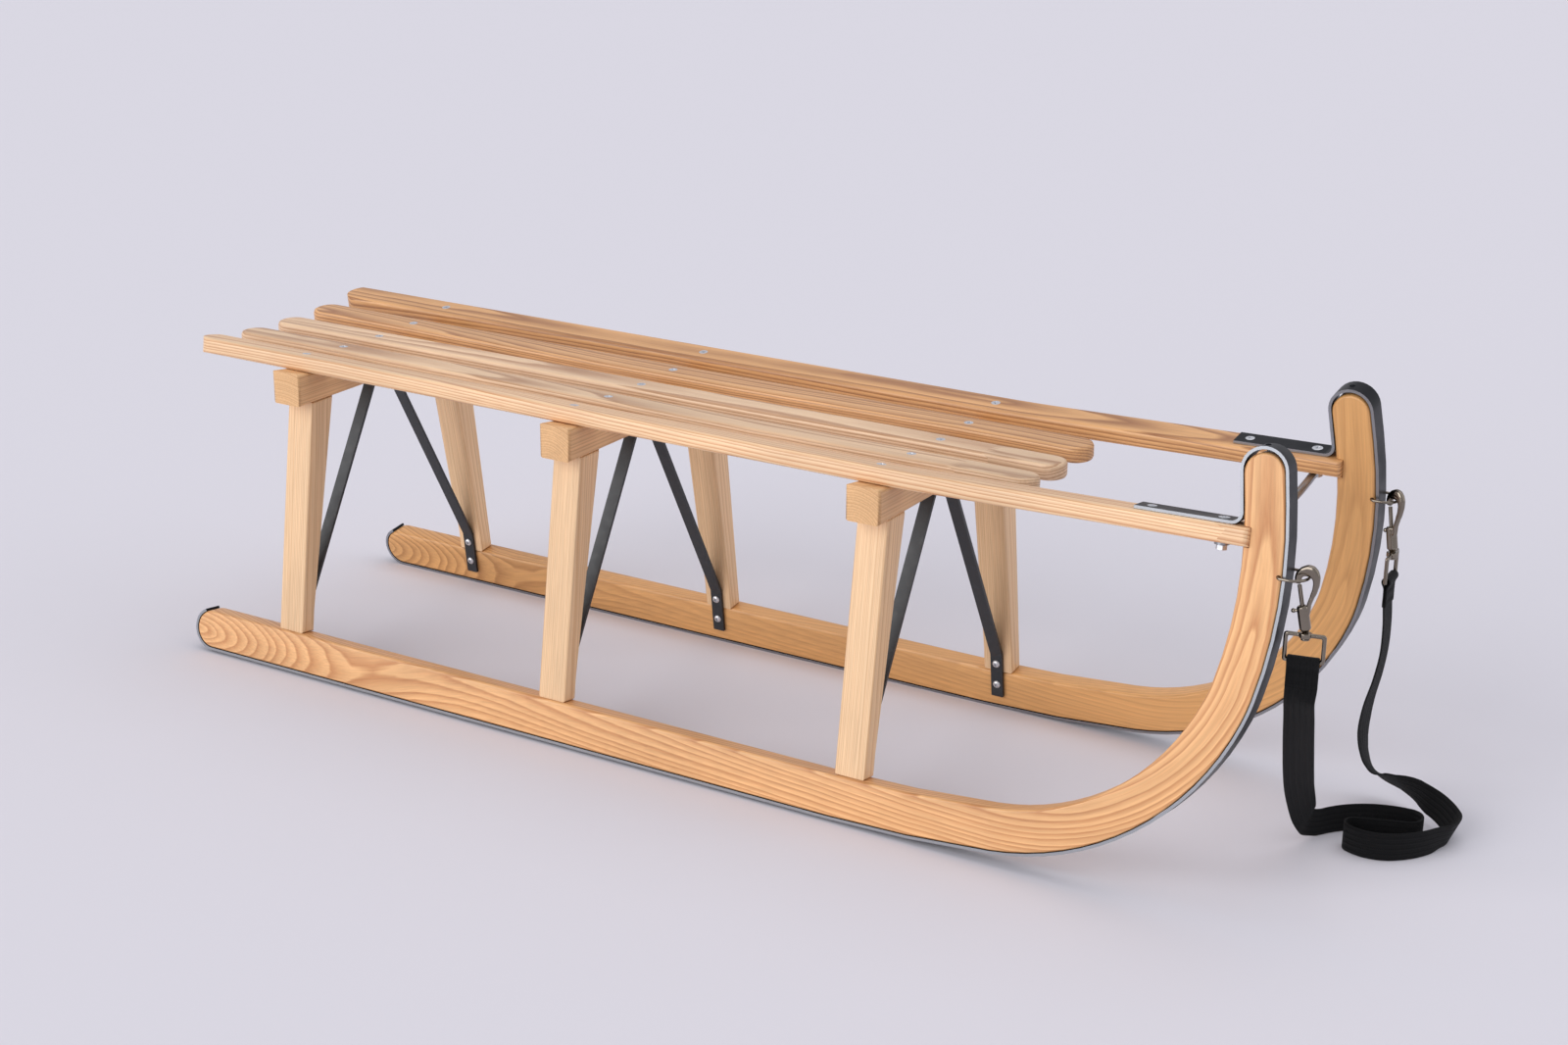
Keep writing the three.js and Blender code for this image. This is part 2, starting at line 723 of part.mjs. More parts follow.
function slat(name, index, finish) {
	const outer = Math.abs(index - 2) === 2;
	const frame = slatFrame(index);
	const cutters = SLAT_SCREW_FRAMES.filter((screw) => screw.index === index)
		.map((screw) => seenFrom(sunkScrew(slatScrew, fit), screw.frame, frame));
	if (outer) {
		const sign = Math.sign(index - 2);
		cutters.push(
			seenFrom(shankHole(stripScrew), stripTopFrame(sign, stripScrewPlace), frame),
			seenFrom(shankHole(bowBolt), stripTopFrame(sign, bowPlace), frame));
	}
	return piece(name, cut(outer ? outerSlatWood() : innerSlatWood(), cutters), finish, frame);
}

function crossbar(place, x) {
	const marks = [crossbarHalfLength, innerJunction, slatPitch / 2];
	const tops = [...marks, ...marks.map((y) => -y).reverse()].map((y) => [y, seatSurface(y) - fit]);
	const outline = [
		[-crossbarHalfLength, crossbarUnderside], [crossbarHalfLength, crossbarUnderside], ...tops];
	const wood = frontExtruded(outline, crossbarWidth, crossbarEase).translate(x, 0, 0);
	const world = new THREE.Matrix4();
	const cutters = [
		...SIDES.map(({ sign }) => seenFrom(topTenon(sign, x, fit), boardMatrix(sign), world)),
		...SLAT_SCREW_FRAMES.filter((screw) => screw.x === x)
			.map((screw) => seenFrom(shankHole(slatScrew), screw.frame, world)),
		...BRACE_TOP_FRAMES.filter((screw) => screw.x === x)
			.map((screw) => seenFrom(shankHole(braceTopScrew), screw.frame, world)),
	];
	return piece(`crossbar_${place}`, cut(wood, cutters), 'paleAsh');
}

// Height up the board of the crossbar's underside, at n
function undersideAt(n) {
	return (crossbarUnderside - n * Math.sin(leanAngle)) / Math.cos(leanAngle);
}

const legOuter = woodInnerFace + legFootThickness;
const legInnerTop = legOuter - legTopThickness;
const topTenonMiddle = (legOuter + legInnerTop) / 2;

function topTenon(sign, x, grow) {
	const from = undersideAt(topTenonMiddle) - overrun;
	const to = undersideAt(topTenonMiddle) + topTenonLength + grow;
	return tenonBox(tenonThickness + 2 * grow, tenonWidth + 2 * grow, from, to, topTenonMiddle, sign, x);
}

function leg(name, x, sign) {
	const frame = boardMatrix(sign);
	const clear = fit / Math.cos(leanAngle);
	const bottom = woodTopAt(x + legWidth / 2) + fit;
	const outline = [
		[legOuter, bottom],
		[legOuter, undersideAt(legOuter) - clear],
		[legInnerTop, undersideAt(legInnerTop) - clear],
		[woodInnerFace, legFootHeight],
		[woodInnerFace, bottom],
	].map(([n, u]) => [sign * n, u]);
	const wood = frontExtruded(sign > 0 ? outline : outline.reverse(), legWidth, legEase)
		.translate(x, 0, 0);
	const footTenon = tenonBox(tenonThickness, tenonWidth, runnerTop - footTenonLength,
		bottom + overrun, tenonMiddle, sign, x);
	const body = joined([wood, footTenon, topTenon(sign, x, 0)]);
	const cutters = BRACE_LOW_FRAMES.filter((screw) => screw.sign === sign && screw.x === x)
		.map((screw) => seenFrom(shankHole(panScrew), screw.frame, frame));
	return piece(name, cut(body, cutters), 'paleAsh', frame);
}

// Steel pieces

function braceRoute() {
	const n = woodInnerFace - fit;
	const low = boardPoint(0, n, braceLowEnd, 1);
	const bend = boardPoint(0, n, braceBend, 1);
	const top = crossbarUnderside - fit;
	return [
		[low.y, low.z], [bend.y, bend.z], [braceTopHalf, top],
		[-braceTopHalf, top], [-bend.y, bend.z], [-low.y, low.z]];
}

function brace(place, x) {
	const route = braceRoute().reverse();
	const steel = frontExtruded(ribbonOutline(route, braceThickness), braceWidth).translate(x, 0, 0);
	const world = new THREE.Matrix4();
	const screws = [
		...BRACE_LOW_FRAMES.filter((screw) => screw.x === x)
			.map((screw) => seenFrom(panHeadScrew(panScrew), screw.frame, world)),
		...BRACE_TOP_FRAMES.filter((screw) => screw.x === x)
			.map((screw) => seenFrom(panHeadScrew(braceTopScrew), screw.frame, world)),
	];
	return piece(`brace_${place}`, joined([steel, ...screws]), 'blackSteel');
}

// Flattened bow end under the slat
function bowTabFrame(sign) {
	const drop = fit + slatThickness + fit + stripThickness + fit + bowTabThickness / 2;
	return stripTopFrame(sign, bowPlace).multiply(new THREE.Matrix4().makeTranslation(0, 0, -drop));
}

function frontBow() {
	const ends = SIDES.map(({ sign }) => new THREE.Vector3().applyMatrix4(bowTabFrame(sign)));
	const inset = nutCorner + 4 * fit;
	const halfSpan = Math.abs(ends[0].y) - inset;
	const points = Array.from({ length: bowSteps + 1 }, (_, i) => {
		const along = -1 + 2 * i / bowSteps;
		const dip = bowDip * (1 - along ** 2) + inset * Math.sin(leanAngle);
		return new THREE.Vector3(ends[0].x, along * halfSpan, ends[0].z - dip);
	});
	const bar = new THREE.ExtrudeGeometry(polygon(bowBarRadius, screwSides), {
		steps: bowSteps, bevelEnabled: false, extrudePath: new THREE.CatmullRomCurve3(points) });
	const world = new THREE.Matrix4();
	const half = bowTabThickness / 2;
	const tabs = SIDES.map(({ sign }) => seenFrom(
		cylinder(bowTabRadius, -half, half, roundSides), bowTabFrame(sign), world));
	const flats = SIDES.map(({ sign }) => seenFrom(
		box(3 * bowTabRadius, 2 * slatWidth, overrun, 0, 0, half + overrun / 2), bowTabFrame(sign), world));
	const holes = SIDES.map(({ sign }) => seenFrom(
		cylinder(bowBolt.shankRadius + fit, -overrun, overrun), bowTabFrame(sign), world));
	return piece('front_bow', cut(joined([bar, ...tabs]), [...flats, ...holes]), 'brightSteel');
}

function polygon(radius, sides) {
	return new THREE.Shape(Array.from({ length: sides }, (_, i) => {
		const angle = 2 * Math.PI * (i + 0.5) / sides;
		return new THREE.Vector2(radius * Math.cos(angle), radius * Math.sin(angle));
	}));
}

function nutShape() {
	const outline = Array.from({ length: 6 }, (_, i) => {
		const angle = Math.PI * i / 3;
		return [nutCorner * Math.cos(angle), nutCorner * Math.sin(angle)];
	});
	const hole = cylinder(bowBolt.shankRadius + fit, -nutHeight, nutHeight);
	return cut(extruded(outline, nutHeight), [hole]);
}

function nutFrame(sign) {
	return bowTabFrame(sign).multiply(
		new THREE.Matrix4().makeTranslation(0, 0, -(bowTabThickness + nutHeight) / 2 - fit));
}

const SLAT_NAMES = ['outer_right', 'inner_right', 'centre', 'inner_left', 'outer_left'];

function fasteners() {
	const slatScrews = SLAT_SCREW_FRAMES.map(({ index, x, frame }) => {
		const { place } = TRESTLES.find((trestle) => trestle.x === x);
		return piece(`slat_screw_${place}_${SLAT_NAMES[index]}`, sunkScrew(slatScrew), 'nickel', frame);
	});
	const onStrip = SIDES.flatMap(({ side, sign }) => [
		piece(`strip_screw_${side}`, sunkScrew(stripScrew), 'nickel', stripTopFrame(sign, stripScrewPlace)),
		piece(`bow_bolt_${side}`, sunkScrew(bowBolt), 'nickel', stripTopFrame(sign, bowPlace)),
		piece(`bow_nut_${side}`, nutShape(), 'nickel', nutFrame(sign)),
	]);
	return [...slatScrews, ...onStrip];
}

// Tow rings: a straight bar through the hole and a bow round the strip

const ringHalf = runnerWidth / 2 + towRingGap + towRingWire / 2;
const ringFront = towHolePlace + towRingReach + ringHalf + towRingWire / 2;

function ringPlan(grow) {
	const radius = ringHalf + grow;
	const bow = Array.from({ length: ringSteps + 1 }, (_, i) => {
		const angle = -Math.PI / 2 + Math.PI * i / ringSteps;
		return [towRingReach + radius * Math.cos(angle), radius * Math.sin(angle)];
	});
	return [...bow, [-grow, radius], [-grow, -radius]];
}

function towRing(side, sign) {
	const half = towRingWire / 2;
	const wire = extruded(ringPlan(half), towRingWire, towRingEase, ringPlan(-half));
	const place = new THREE.Matrix4().setPosition(towPoint(sign));
	return piece(`tow_ring_${side}`, wire, 'nickel', place);
}

// Leashes

function leashPoint(side, sign) {
	const angle = rad(LEASHES[side].ringAngle);
	const centre = towPoint(sign);
	return new THREE.Vector3(
		centre.x + towRingReach + ringHalf * Math.cos(angle), centre.y + ringHalf * Math.sin(angle), centre.z);
}

function hookFrame(side, sign) {
	return new THREE.Matrix4().makeRotationZ(rad(LEASHES[side].hookTurn)).setPosition(leashPoint(side, sign));
}

// The eye's frame stands on the swivel's axis, with the eye's slot along its own X
function eyeFrame(side, sign) {
	const { hookTurn, eyeTurn } = LEASHES[side];
	return hookFrame(side, sign)
		.multiply(new THREE.Matrix4().makeTranslation(hookOffset, 0, 0))
		.multiply(new THREE.Matrix4().makeRotationZ(rad(eyeTurn - hookTurn)));
}

// The gate bolt's axis, from the barrel's foot upwards
function gateMatrix() {
	return new THREE.Matrix4().makeRotationY(-boltTilt).setPosition(hookOffset, 0, -barrelBottom);
}

const eyeTop = -barrelBottom - swivelGap - eyeBossHeight / 2;
const eyeBar = eyeTop - eyeWire - eyeInnerHeight;

// Length of the gate line from the barrel's foot to the hook's tip
const gateReach = (barrelBottom - hookTipDrop) / Math.cos(boltTilt);

function knobSlot() {
	const half = knobStemRadius + fit;
	const low = knobPlace - boltTravel - half;
	const high = knobPlace + half;
	const reach = barrelRadius + overrun;
	return box(reach, 2 * half, high - low, -reach / 2, 0, (low + high) / 2);
}

function hookBody(side, sign) {
	const local = new THREE.Matrix4();
	const outline = hookOutlineShares.map(([x, z]) => [x * hookWidth, z * hookWidth]);
	const bight = sideExtruded(outline, hookThickness, hookEase);
	const half = barrelRadius / 2;
	const barrel = turned([
		[0, 0], [half, 0], [barrelRadius, half], [barrelRadius, barrelLength - half / 2],
		[barrelRadius - half / 2, barrelLength], [0, barrelLength]], roundSides);
	const bossFoot = eyeTop - eyeBossHeight / 2 - fit;
	const post = cylinder(postRadius, bossFoot - postFlangeHeight, -barrelBottom + half);
	const flange = cylinder(postFlangeRadius, bossFoot - postFlangeHeight, bossFoot);
	const whole = joined([
		bight,
		seenFrom(barrel, gateMatrix(), local),
		post.translate(hookOffset, 0, 0),
		flange.translate(hookOffset, 0, 0),
	]);
	const bore = cylinder(boltRadius + fit, boreFoot, gateReach);
	const body = cut(whole, [bore, knobSlot()].map((cutter) => seenFrom(cutter, gateMatrix(), local)));
	return piece(`hook_${side}`, body, 'nickel', hookFrame(side, sign));
}

function hookBolt(side, sign) {
	const tip = gateReach - 2 * fit;
	const rod = cylinder(boltRadius, boltFoot, tip);
	const stem = cylinder(knobStemRadius, 0, knobReach).rotateY(-Math.PI / 2).translate(0, 0, knobPlace);
	const knob = new THREE.SphereGeometry(knobRadius, screwSides, screwSides / 2)
		.translate(-knobReach, 0, knobPlace);
	const bolt = joined([rod, stem, knob]).applyMatrix4(gateMatrix());
	return piece(`hook_bolt_${side}`, bolt, 'nickel', hookFrame(side, sign));
}

// Coil spring under the bolt, one unbroken wire
function hookSpring(side, sign) {
	const bottom = boreFoot + fit + springWireRadius;
	const top = boltFoot - fit - springWireRadius;
	const count = springTurns * springStepsPerTurn;
	const places = Array.from({ length: count + 1 }, (_, i) => {
		const angle = 2 * Math.PI * i / springStepsPerTurn;
		return {
			at: new THREE.Vector3(springRadius * Math.cos(angle), springRadius * Math.sin(angle),
				bottom + (top - bottom) * i / count),
			width: new THREE.Vector3(Math.cos(angle), Math.sin(angle), 0),
		};
	});
	const section = polygon(springWireRadius, springSides).getPoints().slice(0, springSides)
		.map(({ x, y }) => [x, y]);
	const wire = sweptTube(places, section).applyMatrix4(gateMatrix());
	return piece(`hook_spring_${side}`, wire, 'nickel', hookFrame(side, sign));
}

function roundedFrame(halfWidth, low, high, corner) {
	return [
		...arcPoints(halfWidth - corner, low + corner, corner, -Math.PI / 2, 0, 2 * noseStep),
		...arcPoints(halfWidth - corner, high - corner, corner, 0, Math.PI / 2, 2 * noseStep),
		...arcPoints(-halfWidth + corner, high - corner, corner, Math.PI / 2, Math.PI, 2 * noseStep),
		...arcPoints(-halfWidth + corner, low + corner, corner, Math.PI, 1.5 * Math.PI, 2 * noseStep),
	];
}

function swivelEye(side, sign) {
	const half = eyeWire / 2;
	const outer = roundedFrame(eyeInnerWidth / 2 + eyeWire, eyeBar - half, eyeTop + half, eyeCorner);
	const inner = roundedFrame(eyeInnerWidth / 2, eyeBar + half, eyeTop - half, eyeCorner - half);
	const frame = sideExtruded(outer, eyeWire, eyeEase, inner);
	const boss = cylinder(eyeBossRadius, eyeTop - eyeBossHeight / 2, eyeTop + eyeBossHeight / 2, roundSides);
	const hole = cylinder(postRadius + fit, eyeTop - eyeBossHeight, eyeTop + eyeBossHeight);
	const eye = cut(joined([frame, boss]), [hole]);
	return piece(`swivel_eye_${side}`, eye, 'nickel', eyeFrame(side, sign));
}

// Sewn end of the strap: a loop round the eye's lower bar and a doubled run below it
function strapEnd(side, sign) {
	const holeRadius = eyeWire / 2 * Math.SQRT2;
	const outer = holeRadius + webThickness;
	const half = webThickness + fit / 2;
	const start = -Math.asin(half / outer);
	const loop = arcPoints(0, eyeBar, outer, start, Math.PI - start, 2 * noseStep);
	const waist = eyeBar - outer * 1.4;
	const foot = eyeBar - sewnLength;
	const outline = [...loop, [-half, waist], [-half, foot], [half, foot], [half, waist]];
	const ring = arcPoints(0, eyeBar, holeRadius, 0, 2 * Math.PI, 2 * noseStep).slice(0, -1);
	const turn = new THREE.Matrix4().makeBasis(
		new THREE.Vector3(0, 1, 0), new THREE.Vector3(0, 0, 1), new THREE.Vector3(1, 0, 0));
	const sewn = extruded(outline, webWidth, 0, ring).applyMatrix4(turn);
	return piece(`strap_end_${side}`, sewn, 'webbing', eyeFrame(side, sign));
}

// Webbing

// A closed tube of a section swept along places that each give a width direction,
// and at an end that meets another piece squarely the direction of the tube too
function sweptTube(places, section) {
	const rings = places.map(({ at, width, heading }, i) => {
		const before = places[Math.max(i - 1, 0)].at;
		const after = places[Math.min(i + 1, places.length - 1)].at;
		const along = heading ?? after.clone().sub(before).normalize();
		const across = width.clone().addScaledVector(along, -width.dot(along)).normalize();
		const out = along.clone().cross(across);
		return section.map(([a, b]) => at.clone().addScaledVector(across, a).addScaledVector(out, b));
	});
	const sides = section.length;
	const index = [];
	for (let ring = 0; ring + 1 < rings.length; ring += 1) {
		for (let k = 0; k < sides; k += 1) {
			const a = ring * sides + k;
			const b = ring * sides + (k + 1) % sides;
			index.push(a, b, a + sides, b, b + sides, a + sides);
		}
	}
	const last = (rings.length - 1) * sides;
	for (let k = 1; k + 1 < sides; k += 1) {
		index.push(0, k + 1, k);
		index.push(last, last + k, last + k + 1);
	}
	const geometry = new THREE.BufferGeometry();
	geometry.setAttribute('position', new THREE.Float32BufferAttribute(
		rings.flat().flatMap((point) => point.toArray()), 3));
	geometry.setIndex(index);
	return geometry.toNonIndexed();
}

const webSection = [
	[webWidth / 2, 0],
	[webWidth / 2 * (1 - webEdgeShare), webThickness / 2],
	[-webWidth / 2 * (1 - webEdgeShare), webThickness / 2],
	[-webWidth / 2, 0],
	[-webWidth / 2 * (1 - webEdgeShare), -webThickness / 2],
	[webWidth / 2 * (1 - webEdgeShare), -webThickness / 2],
];

// The lay on the floor as points with width directions, each arc and run in turn
function coilPlaces() {
	let { x, y } = COIL_START;
	let heading = rad(COIL_START.heading);
	let from = COIL_RUNS[0];
	const places = [];
	const push = (lean, lift) => {
		const tip = rad(lean);
		const halfHeight = (webWidth * Math.cos(tip) + webThickness * Math.abs(Math.sin(tip))) / 2;
		places.push({
			at: new THREE.Vector3(x, y, fit + lift + halfHeight),
			width: new THREE.Vector3(Math.sin(heading) * Math.sin(tip), -Math.cos(heading) * Math.sin(tip),
				Math.cos(tip)),
		});
	};
	push(from.lean, from.lift);
	for (const part of COIL_RUNS) {
		const { radius, sweep = 0, run = 0 } = part;
		const steps = Math.ceil(run ? run / coilRunStep : Math.abs(sweep) / coilArcStep);
		const turn = rad(sweep) / steps;
		const stride = run ? run / steps : 2 * radius * Math.sin(Math.abs(turn) / 2);
		for (let i = 1; i <= steps; i += 1) {
			x += stride * Math.cos(heading + turn / 2);
			y += stride * Math.sin(heading + turn / 2);
			heading += turn;
			push(THREE.MathUtils.lerp(from.lean, part.lean, i / steps),
				THREE.MathUtils.lerp(from.lift, part.lift, i / steps));
		}
		from = part;
	}
	return places;
}

// Least gap between parts of the lay that are further apart along it than they are near
function leastGap(places) {
	let least = Infinity;
	const far = Math.PI * webWidth / 2;
	const along = [0];
	places.slice(1).forEach(({ at }, i) => along.push(along[i] + at.distanceTo(places[i].at)));
	places.forEach((a, i) => places.forEach((b, j) => {
		if (along[j] - along[i] > far / 2) {
			const flat = Math.hypot(a.at.x - b.at.x, a.at.y - b.at.y);
			least = Math.min(least, flat - webThickness);
		}
	}));
	return least;
}

const coil = coilPlaces();

// Where the strap leaves its sewn end
function sewnFoot(side, sign) {
	const turn = rad(LEASHES[side].eyeTurn);
	return {
		at: new THREE.Vector3(0, 0, eyeBar - sewnLength - hangingGap).applyMatrix4(eyeFrame(side, sign)),
		width: new THREE.Vector3(Math.cos(turn), Math.sin(turn), 0),
		heading: new THREE.Vector3(0, 0, -1),
	};
}

// The free end beside a place of the lay, a little short of it along the webbing
function besideCoil(end, inner, distance) {
	const out = end.at.clone().sub(inner.at).normalize();
	const at = end.at.clone().addScaledVector(out, distance);
	return { at, width: end.width.clone(), heading: out.negate() };
}

function smoothDrop(places, steps) {
	const line = new THREE.CatmullRomCurve3(places.map(({ at }) => at), false, 'centripetal');
	return Array.from({ length: steps + 1 }, (_, i) => {
		const place = i * (places.length - 1) / steps;
		const low = Math.min(Math.floor(place), places.length - 2);
		const width = places[low].width.clone().lerp(places[low + 1].width, place - low);
		const heading = place % 1 === 0 ? places[place].heading : undefined;
		return { at: line.getPoint(i / steps), width, heading };
	});
}

function strapDrop(side, sign, route, end, inner) {
	const hand = route.map(({ at, width }) => ({
		at: new THREE.Vector3(...at), width: new THREE.Vector3(...width) }));
	const places = [
		sewnFoot(side, sign), ...hand, besideCoil(end, inner, webWidth / 4), besideCoil(end, inner, fit)];
	return piece(`strap_drop_${side}`, sweptTube(smoothDrop(places, dropSteps), webSection), 'webbing');
}

console.log(`least gap of the strap's lay to itself: ${leastGap(coil).toFixed(2)} mm`);

const sledge = new THREE.Group();
sledge.position.x = (slatRear - ringFront) / 2;

for (const { side, sign } of SIDES) {
	sledge.add(runner(side, sign), runnerStrip(side, sign));
	for (const { place, x } of TRESTLES) sledge.add(leg(`leg_${place}_${side}`, x, sign));
	sledge.add(towRing(side, sign), hookBody(side, sign), hookBolt(side, sign), hookSpring(side, sign));
	sledge.add(swivelEye(side, sign), strapEnd(side, sign));
}
for (const { place, x } of TRESTLES) sledge.add(crossbar(place, x), brace(place, x));
sledge.add(
	slat('slat_outer_right', 0, 'ash'),
	slat('slat_inner_right', 1, 'paleAsh'),
	slat('slat_centre', 2, 'paleAsh'),
	slat('slat_inner_left', 3, 'paleAsh'),
	slat('slat_outer_left', 4, 'redAsh'),
	frontBow(),
	...fasteners(),
	strapDrop('right', -1, RIGHT_DROP, coil[0], coil[1]),
	strapDrop('left', 1, LEFT_DROP, coil[coil.length - 1], coil[coil.length - 2]),
	piece('strap_coil', sweptTube(coil, webSection), 'webbing'),
);

export default sledge;
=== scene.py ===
"""Looks of a slatted wooden sledge with steel-shod runners and a webbing pull strap.

Everything is in metres in the sledge's own frame: +X forwards, +Y to the left, +Z up.
Sizes inside the classes are in millimetres and turned to metres by MM.
"""

import json
import logging
import math
import random
from dataclasses import dataclass, field
from enum import Enum
from typing import Any, Callable, Iterator, Mapping, Optional, Sequence, TypeVar, Union

import bmesh
import bpy
from mathutils import Matrix, Vector


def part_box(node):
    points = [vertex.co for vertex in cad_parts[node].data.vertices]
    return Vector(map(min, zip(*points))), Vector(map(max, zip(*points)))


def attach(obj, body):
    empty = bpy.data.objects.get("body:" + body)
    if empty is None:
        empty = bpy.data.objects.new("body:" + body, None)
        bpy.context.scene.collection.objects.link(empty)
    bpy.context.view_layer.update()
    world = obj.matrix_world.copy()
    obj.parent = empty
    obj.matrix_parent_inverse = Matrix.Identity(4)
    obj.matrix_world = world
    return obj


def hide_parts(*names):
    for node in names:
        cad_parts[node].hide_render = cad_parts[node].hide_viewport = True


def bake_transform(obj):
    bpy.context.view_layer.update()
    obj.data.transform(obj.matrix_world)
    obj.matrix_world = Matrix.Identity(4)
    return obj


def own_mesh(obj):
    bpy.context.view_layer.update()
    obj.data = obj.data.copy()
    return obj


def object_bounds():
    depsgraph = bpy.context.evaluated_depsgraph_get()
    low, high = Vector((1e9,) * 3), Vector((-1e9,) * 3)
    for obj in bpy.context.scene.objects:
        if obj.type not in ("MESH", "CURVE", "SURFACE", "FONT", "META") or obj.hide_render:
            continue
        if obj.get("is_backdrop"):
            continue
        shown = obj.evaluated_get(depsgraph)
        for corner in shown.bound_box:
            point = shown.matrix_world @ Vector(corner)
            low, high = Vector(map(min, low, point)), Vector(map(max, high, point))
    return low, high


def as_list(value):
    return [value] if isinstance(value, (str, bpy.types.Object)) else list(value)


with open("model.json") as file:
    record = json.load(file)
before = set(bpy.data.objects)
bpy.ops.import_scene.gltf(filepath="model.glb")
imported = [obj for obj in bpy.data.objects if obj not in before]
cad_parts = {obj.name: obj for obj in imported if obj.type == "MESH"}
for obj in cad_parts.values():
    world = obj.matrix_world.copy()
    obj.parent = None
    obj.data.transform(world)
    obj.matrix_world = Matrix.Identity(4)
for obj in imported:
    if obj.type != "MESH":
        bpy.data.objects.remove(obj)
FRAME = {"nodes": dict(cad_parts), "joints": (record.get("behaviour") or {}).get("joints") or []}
CAD_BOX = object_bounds()

MM = 0.001
GRAIN = "grain"
LAY = "lay"
Reach = tuple[float, float, float]
Outline = list[tuple[float, float]]
Course = list[tuple[Vector, Vector]]
Feed = Union[float, bpy.types.Node, bpy.types.NodeSocket]
Value = TypeVar("Value", float, Vector)
log = logging.getLogger("sledge")


class Side(Enum):
    """The two sides of the sledge, with the sign of their Y."""

    RIGHT = -1
    LEFT = 1

    @property
    def word(self) -> str:
        """Name of the side as the frame's nodes spell it."""
        return self.name.lower()


class Trestle(Enum):
    """The three trestles, by their place in steps of the spacing from the middle one."""

    REAR = -1
    MIDDLE = 0
    FRONT = 1

    @property
    def word(self) -> str:
        """Name of the trestle as the frame's nodes spell it."""
        return self.name.lower()


# Colours and nodes


def linear(code: str) -> tuple[float, float, float, float]:
    """Turn an sRGB hex colour into Blender's linear colour.

    Args:
        code: Six hex digits.

    Returns:
        Linear red, green and blue, and an alpha of 1.
    """
    shares = [int(code[i:i + 2], 16) / 255 for i in (0, 2, 4)]
    red, green, blue = (s / 12.92 if s <= 0.04045 else ((s + 0.055) / 1.055) ** 2.4 for s in shares)
    return red, green, blue, 1.0


def add_node(tree: bpy.types.NodeTree, kind: str, settings: Mapping[Any, Any]) -> bpy.types.Node:
    """Add one node to a tree, with its settings and its links.

    Args:
        tree: The material's node tree.
        kind: Blender's name of the node type, without its ShaderNode.
        settings: Attributes of the node, "stops" of a colour ramp, and for its inputs their values
            or what feeds them: a socket, or a node's first output.

    Returns:
        The new node.
    """
    node = tree.nodes.new(f"ShaderNode{kind}")
    for key, value in settings.items():
        feed = value.outputs[0] if isinstance(value, bpy.types.Node) else value
        if key == "stops":
            elements = node.color_ramp.elements
            while len(elements) < len(value):
                elements.new(0.5)
            for element, (place, shade) in zip(elements, value):
                element.position = place
                element.color = (shade, shade, shade, 1.0)
        elif isinstance(feed, bpy.types.NodeSocket):
            tree.links.new(feed, node.inputs[key])
        elif isinstance(key, str) and hasattr(node, key):
            setattr(node, key, value)
        else:
            node.inputs[key].default_value = value
    return node


def calc(tree: bpy.types.NodeTree, operation: str, *terms: Feed) -> bpy.types.Node:
    """Add one sum of numbers, nodes or sockets."""
    return add_node(tree, "Math", {"operation": operation, **dict(enumerate(terms))})


def remap(tree: bpy.types.NodeTree, feed: Feed, low: float, high: float,
          to_low: float = 0.0, to_high: float = 1.0) -> bpy.types.Node:
    """Stretch the values from low to high over another range."""
    return add_node(tree, "MapRange", {0: feed, 1: low, 2: high, 3: to_low, 4: to_high})


def tinted(tree: bpy.types.NodeTree, feed: Feed, first: str, second: str) -> bpy.types.NodeSocket:
    """Mix two hex colours by a share of the second."""
    settings = {"data_type": "RGBA", 0: feed, 6: linear(first), 7: linear(second)}
    return add_node(tree, "Mix", settings).outputs[2]


def speckle(tree: bpy.types.NodeTree, size: float, detail: float, roughness: float = 0.5) -> bpy.types.Node:
    """Add noise on the object's own coordinates, its grains of a size in millimetres."""
    place = add_node(tree, "TexCoord", {}).outputs["Object"]
    settings = {0: place, "Scale": 1 / (size * MM), "Detail": detail, "Roughness": roughness}
    return add_node(tree, "TexNoise", settings)


# Finishes


@dataclass(frozen=True)
class Finish:
    """A finish with a name, whose kinds work out their own shader."""

    name: str

    def shader(self, tree: bpy.types.NodeTree) -> bpy.types.Node:
        """Add the finish's nodes and give back its shader."""
        raise NotImplementedError

    def material(self) -> bpy.types.Material:
        """Build the finish as a material."""
        made = bpy.data.materials.new(self.name)
        made.use_nodes = True
        made.node_tree.nodes.clear()
        add_node(made.node_tree, "OutputMaterial", {0: self.shader(made.node_tree)})
        return made


